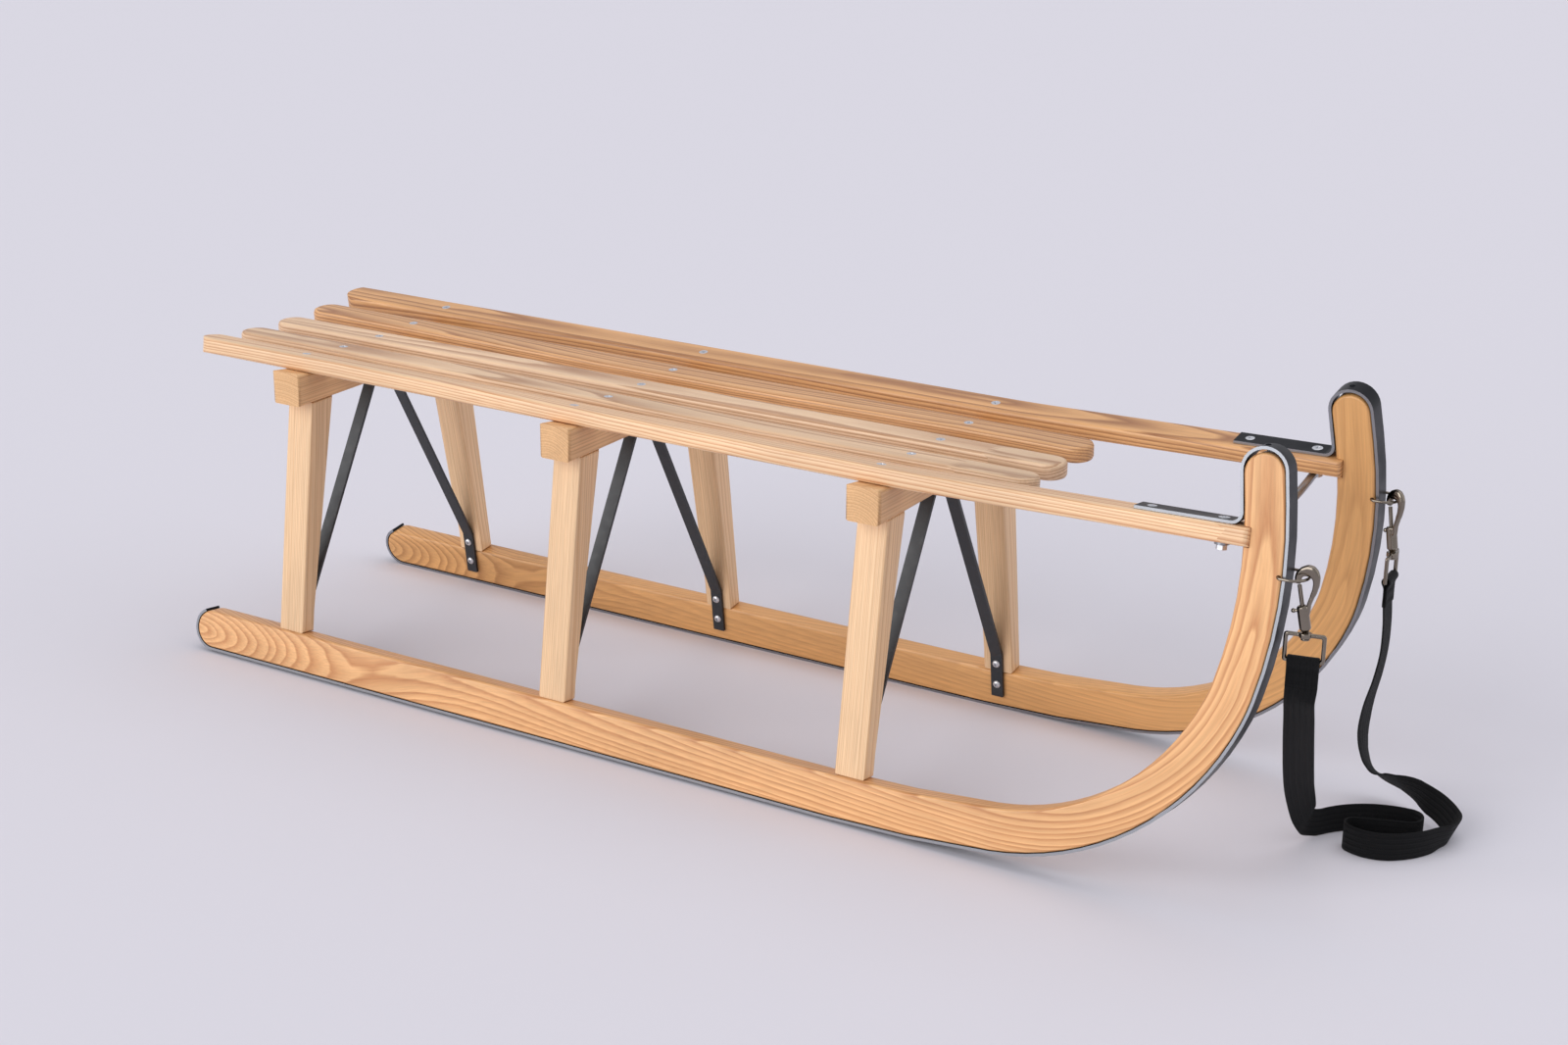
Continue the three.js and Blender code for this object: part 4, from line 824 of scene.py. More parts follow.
@dataclass
class Runners:
    """Two bent runners with their steel strips, in millimetres and degrees on their boards.

    An arc is its radius and sweep, a nail its place, heading and height over the wood's line,
    and the course gives where the pith lies behind the face and below the middle at a run.
    """

    sledge: Sledge
    finishes: Finishes
    rear: float = -433
    straight_end: float = 294.8
    arcs: Sequence[tuple[float, float]] = ((1454, 6.1), (243.4, 63.4), (175, 6.5), (408, 22.2))
    first_cut: int = 20
    cut_step: int = 26
    bend_step: float = 4
    nail_radius: float = 2.5
    nail_crown: float = 1.0
    nails: Sequence[tuple[float, ...]] = ((-411.7, 21.3, 150, 21.3), (642.5, 364.0, 98.2, 19.3))
    edge_share: float = 0.7
    wood_middle: float = 17
    tree_shift: float = 9
    trees_apart: float = 700
    seen_face: Mapping[Side, float] = field(default_factory=lambda: {Side.RIGHT: -19.7, Side.LEFT: -1.1})
    course: Sequence[tuple[float, float, float]] = (
        (-20, 0, -4), (0, 3, -3), (60, 24, -1), (120, 44, 0), (160, 54, 0), (210, 58, -6), (280, 56, -26),
        (350, 50, -38), (480, 38, -42), (620, 26, -42), (760, 16, -38), (880, 11, -28), (980, 9, -17),
        (1080, 8, -7), (1180, 9, -1), (1300, 14, 0))

    def build(self) -> None:
        """Build both runners and both strips."""
        for side in Side:
            self.runner(side)
            self.strip(side)

    def bends(self) -> Iterator[tuple[float, float, float, Vector]]:
        """Go along the arcs of the bend.

        Yields:
            Each arc's radius, its sweep and first heading in radians, and its centre on the board.
        """
        start, heading = Vector((self.straight_end, 0)), 0.0
        for radius, degrees in self.arcs:
            sweep = math.radians(degrees)
            centre = start + radius * Vector((-math.sin(heading), math.cos(heading)))
            yield radius, sweep, heading, centre
            heading += sweep
            start = centre + radius * Vector((math.sin(heading), -math.cos(heading)))

    def unrolled(self, x: float, u: float) -> tuple[float, float]:
        """Follow the runner's curve to a point of its board.

        Args:
            x: Place along the board.
            u: Height up the board.

        Returns:
            Run along the runner from its rear end, and depth in from the steel's outer line.
        """
        if x <= self.straight_end:
            return x - self.rear, u
        run = self.straight_end - self.rear
        for radius, sweep, heading, centre in self.bends():
            arm = Vector((x, u)) - centre
            turned = math.atan2(arm.x, -arm.y) - heading
            if turned <= sweep:
                return run + radius * turned, radius - arm.length
            run += radius * sweep
        ahead = Vector((math.cos(heading + sweep), math.sin(heading + sweep)))
        inwards = Vector((-ahead.y, ahead.x))
        return run + arm.dot(ahead), radius + arm.dot(inwards)

    def pith(self, run: float) -> tuple[float, float]:
        """Where the tree's pith lies behind the face and below its middle, at a run along the runner.

        At the rear it draws away fast, which gives close arcs; then it rises past the upper edge,
        which gives long lines; over the bend it comes back, which gives lines that slant across
        and close in tall arches on the horn.

        Args:
            run: Run along the runner from its rear end.

        Returns:
            Its depth behind the face and its distance below the runner's middle, in millimetres.
        """
        last = len(self.course) - 1
        low = max([i for i in range(last) if self.course[i][0] <= run], default=0)
        before, start, end, after = (self.course[min(max(low + i, 0), last)] for i in (-1, 0, 1, 2))
        stretch = end[0] - start[0]
        values = []
        for k in (1, 2):
            leave = (end[k] - before[k]) / (end[0] - before[0]) * stretch
            arrive = (after[k] - start[k]) / (after[0] - start[0]) * stretch
            values.append(cubic(start[k], end[k], leave, arrive, (run - start[0]) / stretch))
        return values[0], values[1]

    def runner(self, side: Side) -> bpy.types.Object:
        """Build one runner, cut across often enough for its grain to follow the bend.

        Args:
            side: The runner's side.

        Returns:
            The piece.
        """
        board = self.sledge.board(side)
        inverse = board.inverted()
        node = f"runner_{side.word}"
        shape = frame_mesh(node)
        cuts = [(self.rear + run, 0.0, 0.0)
                for run in range(self.first_cut, int(self.straight_end - self.rear), self.cut_step)]
        for radius, sweep, heading, centre in self.bends():
            steps = max(1, round(math.degrees(sweep) / self.bend_step))
            for i in range(steps):
                angle = heading + sweep * i / steps
                foot = centre + radius * Vector((math.sin(angle), -math.cos(angle)))
                cuts.append((foot.x, foot.y, angle))
        for x, u, angle in cuts:
            along = board.to_3x3() @ Vector((math.cos(angle), 0, math.sin(angle)))
            cut_across(shape, board @ (Vector((x, 0, u)) * MM), along)

        def grain(point: Vector) -> Vector:
            local = inverse @ point / MM
            run, depth = self.unrolled(local.x, local.z)
            behind, below = self.pith(run + self.tree_shift * side.value)
            return Vector((run + self.trees_apart * side.value, behind + local.y - self.seen_face[side],
                           depth - self.wood_middle + below))

        follow_grain(shape, grain)
        # The left runner wears the darker copy: partly its own tone, partly painted shade.
        ash = self.finishes.honey_ash if side is Side.RIGHT else self.finishes.amber_ash
        return finished(f"bent_{node}", shape, [ash], "sledge", "ash_warm", [node])

    def strip(self, side: Side) -> bpy.types.Object:
        """Build one steel strip with its nails: its cut edges in plain bright steel, its flat faces in
        near-black steel as a painted dark reflection.

        Args:
            side: The strip's side.

        Returns:
            The piece.
        """
        board = self.sledge.board(side)
        node = f"runner_strip_{side.word}"
        shape = frame_mesh(node)
        outwards = board.to_3x3() @ Vector((0, 1, 0))
        # Faces turned outwards or inwards are the cut edges in plain steel; the flat faces take the near-black
        # steel, a painted dark reflection.
        for face in shape.faces:
            face.material_index = int(abs(face.normal.dot(outwards)) > self.edge_share)
        for x, u, angle, reach in self.nails:
            foot = Matrix.Translation(Vector((x, side.value * self.sledge.board_middle, u)) * MM)
            turn = Matrix.Rotation(math.radians(90 - angle), 4, "Y")
            flat = Matrix.Diagonal((1, 1, self.nail_crown / self.nail_radius, 1))
            frame = board @ foot @ turn @ Matrix.Translation(Vector((0, 0, reach)) * MM) @ flat
            dome = bmesh.ops.create_uvsphere(shape, u_segments=16, v_segments=8, radius=self.nail_radius * MM)
            bmesh.ops.transform(shape, matrix=frame, verts=dome["verts"])
        # First the near-black steel, a painted dark reflection, then the plain bright steel of the edges.
        steels = [self.finishes.rolled_steel, self.finishes.cut_steel]
        name = f"shoe_strip_{side.word}"
        return finished(name, shape, steels, "sledge", "bright_steel", [node], crease=35, ease=0.7)


@dataclass
class Seat:
    """Five slats and the fifteen screws that hold them. Each slat's pith wanders beside and below it."""

    sledge: Sledge
    finishes: Finishes
    screw: CrossHead = field(default_factory=lambda: CrossHead(4.2, 0.1, -0.1, 2.0, 20.0))
    cut_reach: int = 540
    cut_step: int = 30
    sway: float = 4
    sway_reach: float = 150
    sway_shift: float = 90
    taper: float = 0.012

    def build(self) -> None:
        """Build the slats and the screws."""
        woods = (
            ("outer_right", Ash("golden_ash", "F7D3A8", "BC7440", 2.9, 0.74, 1.6, 610), "ash_warm", (24, 30)),
            ("inner_right", Ash("near_pale_ash", "EBC8A2", "9E683F", 2.7, 0.76, 1.2, 352), "ash_pale", (9, 60)),
            ("centre", Ash("pale_ash", "F0CDA8", "A26A40", 2.9, 0.76, 1.2, 358), "ash_pale", (-7, 52)),
            ("inner_left", Ash("tan_ash", "E4B07A", "8E532C", 2.7, 0.80, 1.2), "ash_pale", (16, 34)),
            ("outer_left", Ash("brown_ash", "E0AA72", "87502A", 2.9, 0.80, 1.4), "ash_red", (-8, 26)),
        )
        for index, (place, wood, slot, pith) in enumerate(woods):
            self.slat(index, f"slat_{place}", wood, slot, pith)
        self.screws([place for place, *_ in woods])

    def slat(self, index: int, node: str, wood: Ash, slot: str,
             pith: tuple[float, float]) -> bpy.types.Object:
        """Build one slat.

        Args:
            index: Its number from the right.
            node: Its node in the frame.
            wood: Its finish.
            slot: The record's material slot.
            pith: Where the tree's pith lies beside and below the slat, in millimetres.

        Returns:
            The piece.
        """
        shape = frame_mesh(node)
        middle = sum(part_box(node), Vector()) / 2

        def grain(point: Vector) -> Vector:
            local = (point - middle) / MM
            along = point.x / MM - self.sledge.middle
            phase = (along + self.sway_shift * index) / self.sway_reach
            swing = self.sway * math.sin(phase) + self.taper * along
            return Vector((along, local.y + pith[0] + swing, local.z + pith[1] + swing / 2))

        for x in range(-self.cut_reach, self.cut_reach, self.cut_step):
            cut_across(shape, Vector((x, 0, 0)) * MM, Vector((1, 0, 0)))
        follow_grain(shape, grain)
        return finished(f"seat_{node}", shape, [wood.material()], "sledge", slot, [node])

    def screws(self, places: Sequence[str]) -> bpy.types.Object:
        """Build the countersunk screws of all slats.

        Args:
            places: The slats' places.

        Returns:
            The piece.
        """
        shape = bmesh.new()
        nodes = [f"slat_screw_{trestle.word}_{place}" for trestle in Trestle for place in places]
        draw = random.Random(7)
        for node in nodes:
            self.screw.add_to(shape, screw_frame(node), draw.uniform(0, math.pi / 2))
        return finished("slat_screws", shape, [self.finishes.zinc], "sledge", "nickel", nodes, crease=30)


@dataclass
class Trestles:
    """Legs, crossbars and braces, in millimetres.

    Each leg and crossbar comes from another part of a tree, so its grain is shifted by its place.
    """

    sledge: Sledge
    finishes: Finishes
    screw_heights: tuple[float, float] = (28, 50)
    seat: float = -4.4
    top_screws: float = 7
    top_seat: float = 263.7
    screw: CrossHead = field(default_factory=lambda: CrossHead(3.7, 1.95, 0.0, 1.7, 12.0))
    head_height: tuple[float, float] = (0.05, 3)
    head_radius: float = 4
    leg_steps: tuple[float, float] = (37, 53)
    leg_pith: tuple[float, float] = (60, 24)
    leg_spread: tuple[float, float] = (9, 0.25)
    leg_taper: float = 0.03
    bars_apart: float = 400
    bar_pith: tuple[float, float] = (8, -277)
    bar_depths: Mapping[Trestle, float] = field(
        default_factory=lambda: {Trestle.REAR: 70, Trestle.MIDDLE: 24, Trestle.FRONT: 24})
    bar_taper: float = 0.01

    def build(self) -> None:
        """Build the three trestles."""
        for trestle in Trestle:
            self.crossbar(trestle)
            self.brace(trestle)
            for side in Side:
                self.leg(trestle, side)

    def leg(self, trestle: Trestle, side: Side) -> bpy.types.Object:
        """Build one leg, with its grain up the board.

        Args:
            trestle: The trestle.
            side: The side.

        Returns:
            The piece.
        """
        node = f"leg_{trestle.word}_{side.word}"
        inverse = self.sledge.board(side).inverted()
        shift = self.leg_steps[0] * trestle.value + self.leg_steps[1] * side.value
        up, out = shift * self.leg_spread[0], shift * self.leg_spread[1]
        beside = self.leg_pith[0] + out - trestle.value * self.sledge.trestle_spacing

        def grain(point: Vector) -> Vector:
            local = inverse @ point / MM
            behind = self.leg_pith[1] + self.leg_taper * local.z
            return Vector((local.z + up, local.x + beside, local.y + behind))

        shape = frame_mesh(node)
        follow_grain(shape, grain)
        return finished(f"turned_up_{node}", shape, [self.finishes.leg_ash], "sledge", "ash_pale", [node])

    def crossbar(self, trestle: Trestle) -> bpy.types.Object:
        """Build one crossbar, with its grain across the sledge.

        Args:
            trestle: The trestle.

        Returns:
            The piece.
        """
        node = f"crossbar_{trestle.word}"
        beside = self.bar_pith[0] - self.sledge.trestle_place(trestle)
        below = self.bar_pith[1] + self.bar_depths[trestle]

        def grain(point: Vector) -> Vector:
            x, y, z = point / MM
            return Vector((y + self.bars_apart * trestle.value, x + beside, z + below + self.bar_taper * y))

        shape = frame_mesh(node)
        follow_grain(shape, grain)
        return finished(f"seat_{node}", shape, [self.finishes.bar_ash], "sledge", "ash_pale", [node])

    def screw_places(self, trestle: Trestle) -> list[Matrix]:
        """Frames on the brace under the heads of a trestle's six screws.

        Args:
            trestle: The trestle.

        Returns:
            The frames, with the shanks down their -Z.
        """
        place = trestle.value * self.sledge.trestle_spacing
        frames = []
        for side in Side:
            inwards = Matrix.Rotation(side.value * math.pi / 2, 4, "X")
            for height in self.screw_heights:
                seat = Vector((place, side.value * self.seat, height)) * MM
                frames.append(self.sledge.board(side) @ Matrix.Translation(seat) @ inwards)
        for way in (-1, 1):
            seat = Vector((self.sledge.middle + place, way * self.top_screws, self.top_seat)) * MM
            frames.append(Matrix.Translation(seat) @ Matrix.Rotation(math.pi, 4, "X"))
        return frames

    def brace(self, trestle: Trestle) -> bpy.types.Object:
        """Build one bent brace, whose plain screw heads give way to pan heads with a cross recess.

        Args:
            trestle: The trestle.

        Returns:
            The piece.
        """
        node = f"brace_{trestle.word}"
        shape = frame_mesh(node)
        places = self.screw_places(trestle)
        low, high = self.head_height
        for frame in places:
            inverse = frame.inverted()
            head = []
            for vert in shape.verts:
                local = inverse @ vert.co / MM
                if low < local.z < high and local.xy.length < self.head_radius:
                    head.append(vert)
            bmesh.ops.delete(shape, geom=head, context="VERTS")
        bmesh.ops.holes_fill(shape, edges=[edge for edge in shape.edges if edge.is_boundary], sides=0)
        draw = random.Random(11 + trestle.value)
        for frame in places:
            self.screw.add_to(shape, frame, draw.uniform(0, math.pi / 2), material=1)
        finishes = [self.finishes.black_enamel, self.finishes.zinc]
        return finished(f"flat_{node}", shape, finishes, "sledge", "black_steel", [node], crease=30)


@dataclass
class BowAndBolts:
    """The front bow, its bolts and nuts, and the strips' screws."""

    finishes: Finishes
    bolt: CrossHead = field(default_factory=lambda: CrossHead(4.6, 0.5, -0.1, 2.5, 24.0))
    screw: CrossHead = field(default_factory=lambda: CrossHead(4.0, 0.4, -0.1, 1.9, 13.0))
    recess_turn: float = 0.4
    nut_ease: float = 0.35

    def build(self) -> None:
        """Build the bow and its fasteners."""
        bow = frame_mesh("front_bow")
        finished("bent_bow", bow, [self.finishes.cut_steel], "sledge", "bright_steel", ["front_bow"])
        zinc = [self.finishes.zinc]
        for side in Side:
            for screw, kind in ((self.bolt, "bow_bolt"), (self.screw, "strip_screw")):
                node = f"{kind}_{side.word}"
                shape = bmesh.new()
                screw.add_to(shape, screw_frame(node), self.recess_turn + side.value)
                finished(f"{node}_head", shape, zinc, "sledge", "nickel", [node], crease=30)
            node = f"bow_nut_{side.word}"
            finished(f"{node}_hex", frame_mesh(node), zinc, "sledge", "nickel", [node], 30, self.nut_ease)


@dataclass
class Band:
    """The webbing's section, with its edges rounded and its flat sides in three parts."""

    width: float = 25
    thickness: float = 1.6
    selvedge: float = 1.2
    hollow: float = 0.94
    edge: tuple[float, float] = (0.3, 0.7)

    def section(self) -> Outline:
        """Outline of the band in metres."""
        half, thick = self.width / 2, self.thickness / 2
        flat = half - self.selvedge
        inset, low, hollow = half - self.edge[0], thick * self.edge[1], thick * self.hollow
        way = [(flat, thick), (flat / 3, hollow), (-flat / 3, hollow), (-flat, thick),
               (-inset, low), (-half, 0), (-inset, -low)]
        return [(turn * a * MM, turn * b * MM) for turn in (1, -1) for a, b in way]


@dataclass
class Leash:
    """One side's tow ring, snap hook, swivel eye and sewn strap end.

    The ring's bends are centre, radius, first and last heading and steps. Everything below the
    eye's bar, which is at a height from the tow ring, is given as its distance from that bar.
    """

    side: Side
    sledge: Sledge
    finishes: Finishes
    eye_turn: float
    ring_half: float = 13.1
    ring_wire: float = 1.2
    ring_reach: float = 7.5
    ring_corner: float = 2.2
    eye_bar: float = -67.2
    eye_wire: float = 1.7
    band: Band = field(default_factory=Band)
    sewn: float = 22
    ply_gap: float = 0.12
    leg_marks: tuple[float, float] = (15, 9)
    neck: tuple[float, float] = (1.35, 5.2)
    lead: float = 0.9
    stitch: Reach = (1.15, 0.32, 0.26)
    stitch_rows: Sequence[float] = (8.5, 10.5, 19.5, 17.5)
    stitches: int = 9
    stitch_pitch: float = 2.6
    spring_radius: float = 1.45
    spring_wire: float = 0.3
    spring_turns: int = 9
    spring_sides: int = 14
    pieces: list[bpy.types.Object] = field(default_factory=list)

    def joint(self, name: str) -> Mapping[str, Any]:
        """Find one of this side's joints in the frame."""
        return {joint["name"]: joint for joint in FRAME["joints"]}[f"{self.side.word}_{name}"]

    def eye_frame(self) -> Matrix:
        """Frame on the swivel's axis at the tow ring's height, with the eye's slot along its X."""
        pin, ring = self.joint("hook_swivel")["pos_m"], self.joint("leash_swing")["pos_m"]
        turn = Matrix.Rotation(math.radians(self.eye_turn), 4, "Z")
        return Matrix.Translation((pin[0], pin[1], ring[2])) @ turn

    def foot(self) -> tuple[Vector, Vector]:
        """Where the hanging band leaves the sewn end, and its width's direction."""
        frame = self.eye_frame()
        end = Vector((0, 0, self.eye_bar - self.sewn - self.lead)) * MM
        return frame @ end, frame.to_3x3() @ Vector((1, 0, 0))

    def build(self) -> None:
        """Build the side's hardware and the sewn end."""
        self.tow_ring()
        word = self.side.word
        cast_parts = (
            ("snap", "hook", "hook", Casting(0.35, bight_rounds=50, swell=0.3, bight=26)),
            ("snap_bolt", "hook_bolt", "bolt", Casting(0.25)),
            ("eye", "swivel_eye", "eye", Casting(0.3)),
        )
        for name, kind, body, casting in cast_parts:
            node = f"{kind}_{word}"
            shape = casting.skin(frame_mesh(node))
            nickel = [self.finishes.nickel]
            self.pieces.append(
                finished(f"{name}_{word}", shape, nickel, f"{word}_{body}", "nickel", [node], crease=180))
        self.pieces.append(self.sewn_end())

    def tow_ring(self) -> bpy.types.Object:
        """Build the ring: a bar through the horn and a bow round the strip.

        Returns:
            The piece.
        """
        half, corner = self.ring_half, self.ring_corner
        outline = arc((self.ring_reach, 0), half, -90, 90, 16)
        outline += arc((corner, half - corner), corner, 90, 180, 4)
        outline += arc((corner, corner - half), corner, 180, 270, 4)
        node = f"tow_ring_{self.side.word}"
        low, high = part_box(node)
        middle = (low + high) / 2
        centre = Vector((low.x + self.ring_wire * MM, middle.y, middle.z))
        line = [centre + Vector((x, y, 0)) * MM for x, y in outline]
        frames = frames_along(line, [Vector((0, 0, 1))] * len(line), closed=True)
        shape = swept(round_section(self.ring_wire, 12), frames, closed=True)
        return finished(f"bent_{node}", shape, [self.finishes.nickel], "sledge", "nickel", [node], 60)

    def sewn_end(self) -> bpy.types.Object:
        """Build the band's end: a loop round the eye's bar and a doubled run with rows of stitches.

        Returns:
            The piece.
        """
        word, bar, half = self.side.word, self.eye_bar, self.band.thickness / 2
        apart = half + self.ply_gap
        leg = [(apart, bar - mark) for mark in (self.sewn, *self.leg_marks)]
        leg.append((apart * self.neck[0], bar - self.neck[1]))
        bend = arc((0, bar), self.eye_wire * math.sqrt(2) + half, -28, 208, 10)
        route = leg + bend + [(-y, z) for y, z in reversed(leg)]
        frame = self.eye_frame()
        line = smooth_line([frame @ (Vector((0, y, z)) * MM) for y, z in route], 4)
        across = frame.to_3x3() @ Vector((1, 0, 0))
        shape = swept(self.band.section(), frames_along(line, [across] * len(line)))
        layer = shape.verts.layers.float_vector[LAY]
        size = Matrix.Diagonal((*(Vector(self.stitch) * MM), 1))
        places = [Vector(((i - self.stitches // 2) * self.stitch_pitch, way * (apart + half), bar - row)) * MM
                  for way in (-1, 1) for row in self.stitch_rows for i in range(self.stitches)]
        for place in places:
            thread = bmesh.ops.create_uvsphere(shape, u_segments=8, v_segments=5, radius=1.0)["verts"]
            bmesh.ops.transform(shape, matrix=frame @ Matrix.Translation(place) @ size, verts=thread)
            for vert in thread:
                vert[layer] = (1.0, 0.0, 0.0)
        return finished(f"sewn_end_{word}", shape, [self.finishes.webbing], f"{word}_eye", "webbing",
                        [f"strap_end_{word}"], 60)

    def spring(self) -> bpy.types.Object:
        """Build the coil spring under the hook's bolt, which presses it together.

        Returns:
            The piece.
        """
        word = self.side.word
        node = f"hook_spring_{word}"
        points = [vert.co for vert in FRAME["nodes"][node].data.vertices]
        lowest, highest = min(points, key=lambda p: p.z), max(points, key=lambda p: p.z)
        slide = self.joint("bolt_slide")
        axis = -Vector(slide["axis"]).normalized()
        length = (highest - lowest).dot(axis)
        base = sum(points, Vector()) / len(points) - axis * length / 2
        side = axis.orthogonal().normalized()
        back = axis.cross(side)
        circle = arc((0, 0), 1, 0, 360 * self.spring_turns, self.spring_turns * self.spring_sides)
        arms = [side * a + back * b for a, b in circle]
        wire, last = self.spring_wire * MM, len(arms) - 1
        line = [base + axis * (wire + (length - 2 * wire) * i / last) + arm * self.spring_radius * MM
                for i, arm in enumerate(arms)]
        shape = swept(round_section(self.spring_wire, 8), frames_along(line, arms))
        piece = finished(f"coil_{node}", shape, [self.finishes.zinc], f"{word}_hook", "nickel", [node], 60)
        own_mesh(piece)
        return piece


@dataclass
class Run:
    """One stretch of the strap's lay on the floor, straight or bent, in millimetres and degrees."""

    run: float = 0
    radius: float = 0
    sweep: float = 0
    lean: float = 0
    lift: float = 0


LAY_RUNS = (
    Run(run=6), Run(radius=78, sweep=-56), Run(radius=13, sweep=-162), Run(run=43), Run(radius=9, sweep=134),
    Run(radius=38, sweep=60), Run(radius=72, sweep=32, lean=6), Run(run=15, lean=20),
    Run(radius=30, sweep=64, lean=26), Run(radius=60, sweep=28, lean=12, lift=5),
    Run(run=14, lean=-8, lift=9), Run(radius=100, sweep=10, lean=-34, lift=12), Run(run=4, lean=-40, lift=13))


@dataclass
class Strap:
    """The webbing from hook to hook, hanging on both sides and lying in loops between.

    Its two halves meet in the lay. A drop gives a
    point and the band's width there, from the hook down, and the lay starts at a point with a
    heading. Places are from the sledge's middle.
    """

    leashes: Mapping[Side, Leash]
    sledge: Sledge
    finishes: Finishes
    band: Band = field(default_factory=Band)
    floor_gap: float = 0.3
    drop_steps: int = 6
    bend_step: float = 4
    tuck: float = 5
    right_drop: Sequence[tuple[Reach, Reach]] = (
        ((684.2, -107, 185), (1, 0, 0)), ((681, -94, 164), (1, 0.04, 0.02)),
        ((676.4, -77, 140), (0.99, 0.1, 0.06)), ((671.3, -58, 116), (0.97, 0.16, 0.12)),
        ((666, -38, 92), (0.93, 0.2, 0.26)),
        ((661, -17, 68), (0.84, 0.2, 0.5)), ((658, 2, 46), (0.66, 0.12, 0.74)),
        ((656.4, 18, 27), (0.38, 0.04, 0.92)), ((656, 30, 16.5), (0.12, 0, 0.99)))
    left_drop: Sequence[tuple[Reach, Reach]] = (
        ((685.2, 102.7, 180), (0.04, -1, 0)), ((685, 103, 155), (0.04, -1, 0)),
        ((681.3, 103.5, 129), (0, -1, 0.04)), ((675.3, 106.2, 104), (-0.04, -0.98, 0.1)),
        ((671, 112.5, 79), (-0.04, -0.96, 0.2)),
        ((670, 120.7, 57), (0.04, -0.94, 0.28)), ((672, 126.5, 42), (0.06, -0.92, 0.34)),
        ((677, 131, 31), (0.02, -0.86, 0.46)), ((685, 133.6, 25.2), (-0.06, -0.76, 0.6)))
    lay_start: Reach = (661, 41, 58)
    lay_runs: Sequence[Run] = LAY_RUNS
    parting: int = 40

    def edgeways(self, x: float, y: float, heading: float, lean: float, lift: float) -> tuple[Vector, Vector]:
        """Stand the band on its edge at one point of the lay.

        Args:
            x: Place along the sledge from its middle.
            y: Place across it.
            heading: Where the band runs, in radians.
            lean: How far it leans over, in degrees.
            lift: How high its lower edge is over the floor's gap.

        Returns:
            The band's middle in metres and its width's direction.
        """
        tip = math.radians(lean)
        rise = (self.band.width * math.cos(tip) + self.band.thickness * abs(math.sin(tip))) / 2
        middle = Vector((self.sledge.middle + x, y, self.floor_gap + lift + rise)) * MM
        aside = math.sin(tip)
        return middle, Vector((math.sin(heading) * aside, -math.cos(heading) * aside, math.cos(tip)))

    def lay(self) -> Course:
        """Follow the runs over the floor.

        Returns:
            Points in metres with the band's width direction at each.
        """
        x, y, degrees = self.lay_start
        heading = math.radians(degrees)
        before = self.lay_runs[0]
        places = [self.edgeways(x, y, heading, before.lean, before.lift)]
        for part in self.lay_runs:
            steps = math.ceil((part.run or abs(part.sweep)) / self.bend_step)
            turn = math.radians(part.sweep) / steps
            stride = part.run / steps if part.run else 2 * part.radius * math.sin(abs(turn) / 2)
            for i in range(1, steps + 1):
                x += stride * math.cos(heading + turn / 2)
                y += stride * math.sin(heading + turn / 2)
                heading += turn
                lean = before.lean + (part.lean - before.lean) * i / steps
                lift = before.lift + (part.lift - before.lift) * i / steps
                places.append(self.edgeways(x, y, heading, lean, lift))
            before = part
        return places

    def drop(self, side: Side, end: tuple[Vector, Vector]) -> Course:
        """Follow the hanging band from its sewn end to the lay.

        Args:
            side: The side.
            end: The lay's point that it runs into.

        Returns:
            Points in metres with width directions.
        """
        route = self.right_drop if side is Side.RIGHT else self.left_drop
        places = [self.leashes[side].foot()]
        for (x, y, z), across in route:
            places.append((Vector((self.sledge.middle + x, y, z)) * MM, Vector(across)))
        places.append(end)
        line = smooth_line([point for point, _ in places], self.drop_steps)
        widths = []
        for i in range(len(line)):
            low = min(i // self.drop_steps, len(places) - 2)
            widths.append(places[low][1].lerp(places[low + 1][1], i / self.drop_steps - low))
        tucked = line[0] + Vector((0, 0, self.tuck * MM))
        return [(tucked, widths[0]), *zip(line, widths)]

    def half(self, side: Side, places: Course, nodes: Sequence[str]) -> bpy.types.Object:
        """Args:
            side: The side it hangs from.
            places: Its line from the hook to the parting.
            nodes: The frame's nodes that it stands for.

        Returns:
            The piece.
        """
        line = [point for point, _ in places]
        leash = self.leashes[side]
        name = f"pull_strap_{side.word}"
        shape = swept(self.band.section(), frames_along(line, [width for _, width in places]))
        piece = finished(name, shape, [self.finishes.webbing], None, "webbing", nodes, 60)
        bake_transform(piece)
        tuple(line[0])
        length_of(line)
        [tuple(point) for point in line]
        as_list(leash.pieces)
        log.info("%s: %.3f m", name, length_of(line))
        return piece

    def build(self) -> None:
        """Build both halves."""
        lay = self.lay()
        right = self.drop(Side.RIGHT, lay[0]) + lay[1:self.parting + 1]
        left = self.drop(Side.LEFT, lay[-1]) + lay[self.parting:-1][::-1]
        self.half(Side.RIGHT, right, ["strap_drop_right", "strap_coil"])
        self.half(Side.LEFT, left, ["strap_drop_left"])


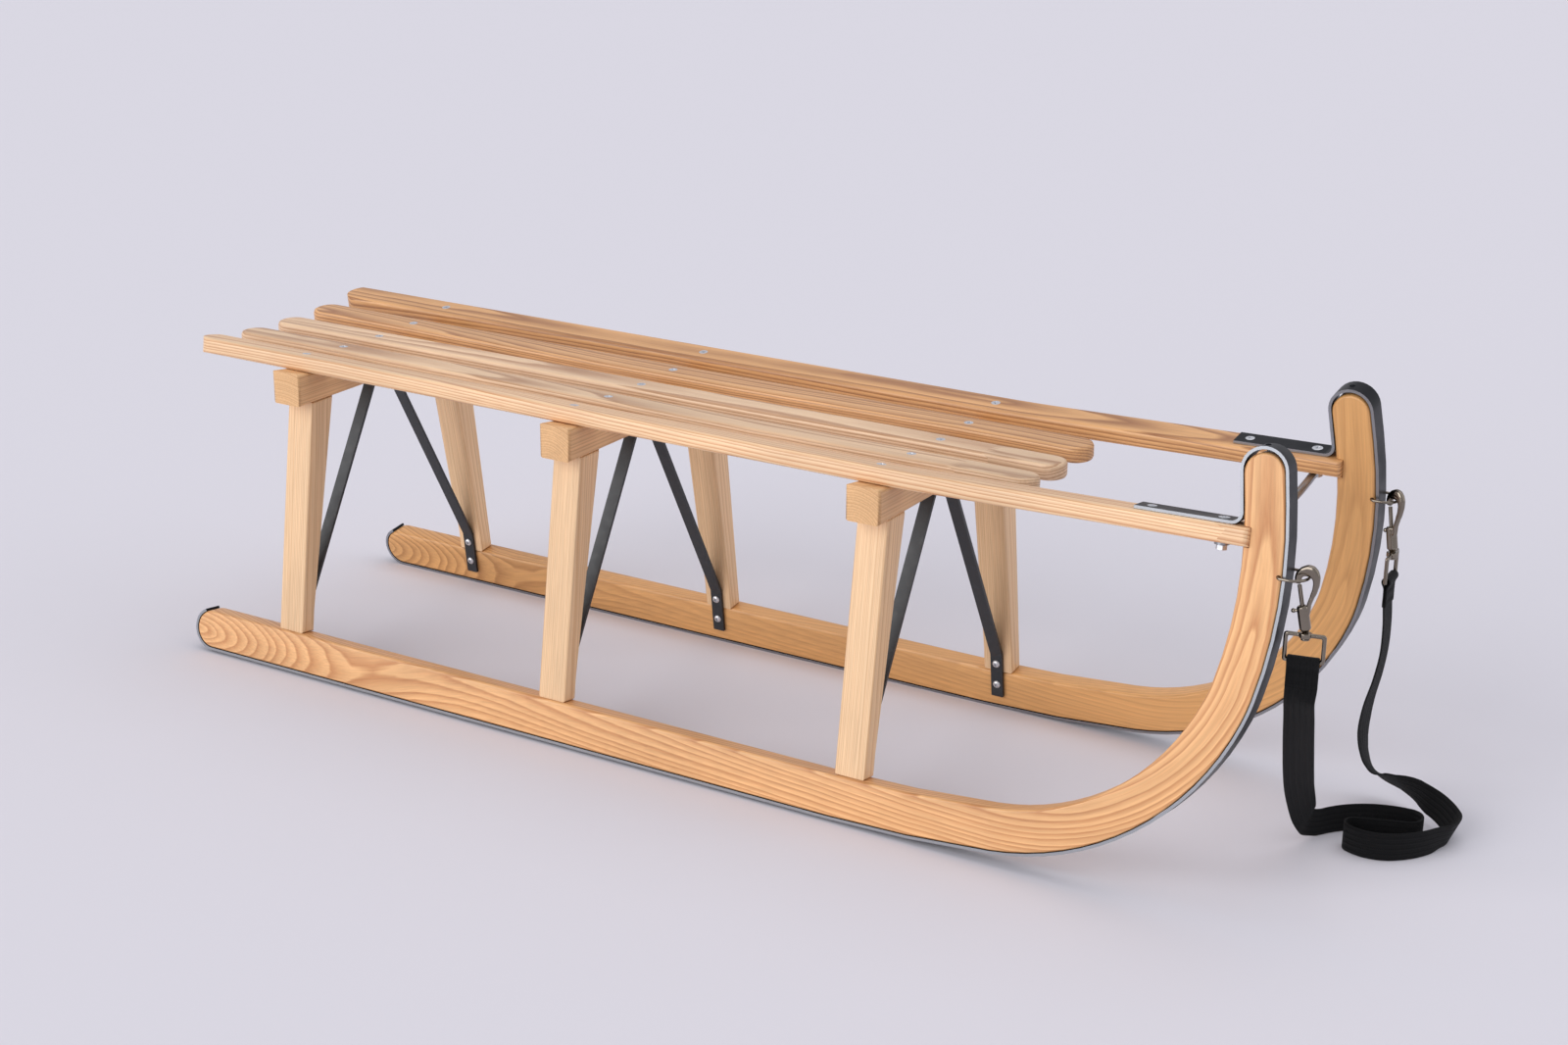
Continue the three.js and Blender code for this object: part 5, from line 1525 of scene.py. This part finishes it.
@dataclass
class Studio:
    """Camera, floor and lamps. A lamp has a direction from the sledge and its light in W/m2."""

    picture_width: int = 1600
    focal_pixels: float = 2531.5
    sensor: float = 36
    station: Reach = (1125.15, -1820.8, 944.3)
    forwards: Reach = (-0.4858, 0.8087, -0.3316)
    roll: float = 0.010
    floor_size: float = 14
    floor_colour: str = "DDDBE4"
    softness: float = 52
    lamps: Sequence[tuple[str, Reach, float]] = (
        ("key", (-1.3, -2.7, 1.2), 1.84), ("top", (0.2, 0.5, 2.2), 0.50), ("rim", (2.3, 0.9, 1.3), 0.41))

    def camera(self) -> bpy.types.Object:
        """Stand the camera where the photograph was taken.

        Returns:
            The camera.
        """
        data = bpy.data.cameras.new("camera")
        data.sensor_width = self.sensor
        data.lens = self.focal_pixels / self.picture_width * self.sensor
        camera = bpy.data.objects.new("camera", data)
        ahead = Vector(self.forwards).normalized()
        right = ahead.cross(Vector((0, 0, 1))).normalized()
        tilted = right * math.cos(self.roll) + right.cross(ahead) * math.sin(self.roll)
        turn = Matrix((tilted, tilted.cross(ahead), -ahead)).transposed()
        camera.matrix_world = Matrix.Translation(Vector(self.station) * MM) @ turn.to_4x4()
        bpy.context.scene.collection.objects.link(camera)
        bpy.context.scene.camera = camera
        return camera

    def floor(self) -> bpy.types.Object:
        """Lay a plain pale floor.

        Returns:
            The floor.
        """
        shape = bmesh.new()
        bmesh.ops.create_grid(shape, x_segments=1, y_segments=1, size=self.floor_size / 2)
        floor = placed("floor", shape)
        floor.data.materials.append(Laminate("floor_laminate", self.floor_colour).material())
        floor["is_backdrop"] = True
        return floor

    def lamp(self, name: str, stand: Reach, strength: float) -> bpy.types.Object:
        """Shine from far off like a big soft box, so the whole floor is lit alike.

        Args:
            name: The lamp's name.
            stand: Direction from the sledge to the lamp.
            strength: Its light in watts per square metre.

        Returns:
            The lamp.
        """
        data = bpy.data.lights.new(name, "SUN")
        data.angle = math.radians(self.softness)
        data.energy = strength
        lamp = bpy.data.objects.new(name, data)
        turn = (-Vector(stand)).to_track_quat("-Z", "Y")
        lamp.matrix_world = Matrix.Translation(stand) @ turn.to_matrix().to_4x4()
        bpy.context.scene.collection.objects.link(lamp)
        return lamp

    def sky(self) -> None:
        """Fill the room with even light, and show it to the eye and in reflections as a pale wall."""
        world = bpy.data.worlds.new("room")
        world.use_nodes = True
        tree = world.node_tree
        tree.nodes.clear()
        rays = add_node(tree, "LightPath", {}).outputs
        looks = calc(tree, "MAXIMUM", rays["Is Camera Ray"], rays["Is Glossy Ray"])
        looks = calc(tree, "MAXIMUM", looks, rays["Is Transmission Ray"])
        fill = add_node(tree, "Background", {"Color": linear("F2F2F6"), "Strength": 0.60})
        wall = add_node(tree, "Background", {"Color": linear("DCDCE3"), "Strength": 0.85})
        add_node(tree, "OutputWorld", {0: add_node(tree, "MixShader", {0: looks, 1: fill, 2: wall})})
        bpy.context.scene.world = world

    def build(self) -> None:
        """Set up the floor and the light."""
        bpy.context.scene.view_settings.view_transform = "Standard"
        self.floor()
        self.sky()
        for name, stand, strength in self.lamps:
            self.lamp(name, stand, strength)


def main() -> None:
    """Build the sledge piece by piece, then the studio round it."""
    logging.basicConfig(level=logging.INFO, format="%(message)s")
    studio = Studio()
    studio.camera()
    sledge = Sledge()
    finishes = Finishes()
    leashes = {
        Side.RIGHT: Leash(Side.RIGHT, sledge, finishes, 12),
        Side.LEFT: Leash(Side.LEFT, sledge, finishes, -88),
    }
    for leash in leashes.values():
        leash.build()
        leash.spring()
    Strap(leashes, sledge, finishes).build()
    Runners(sledge, finishes).build()
    Seat(sledge, finishes).build()
    Trestles(sledge, finishes).build()
    BowAndBolts(finishes).build()
    studio.build()
    boxes = {"cad": CAD_BOX, "visual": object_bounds()}
    {name: [list(corner) for corner in box] for name, box in boxes.items()}


if __name__ == "__main__":
    main()
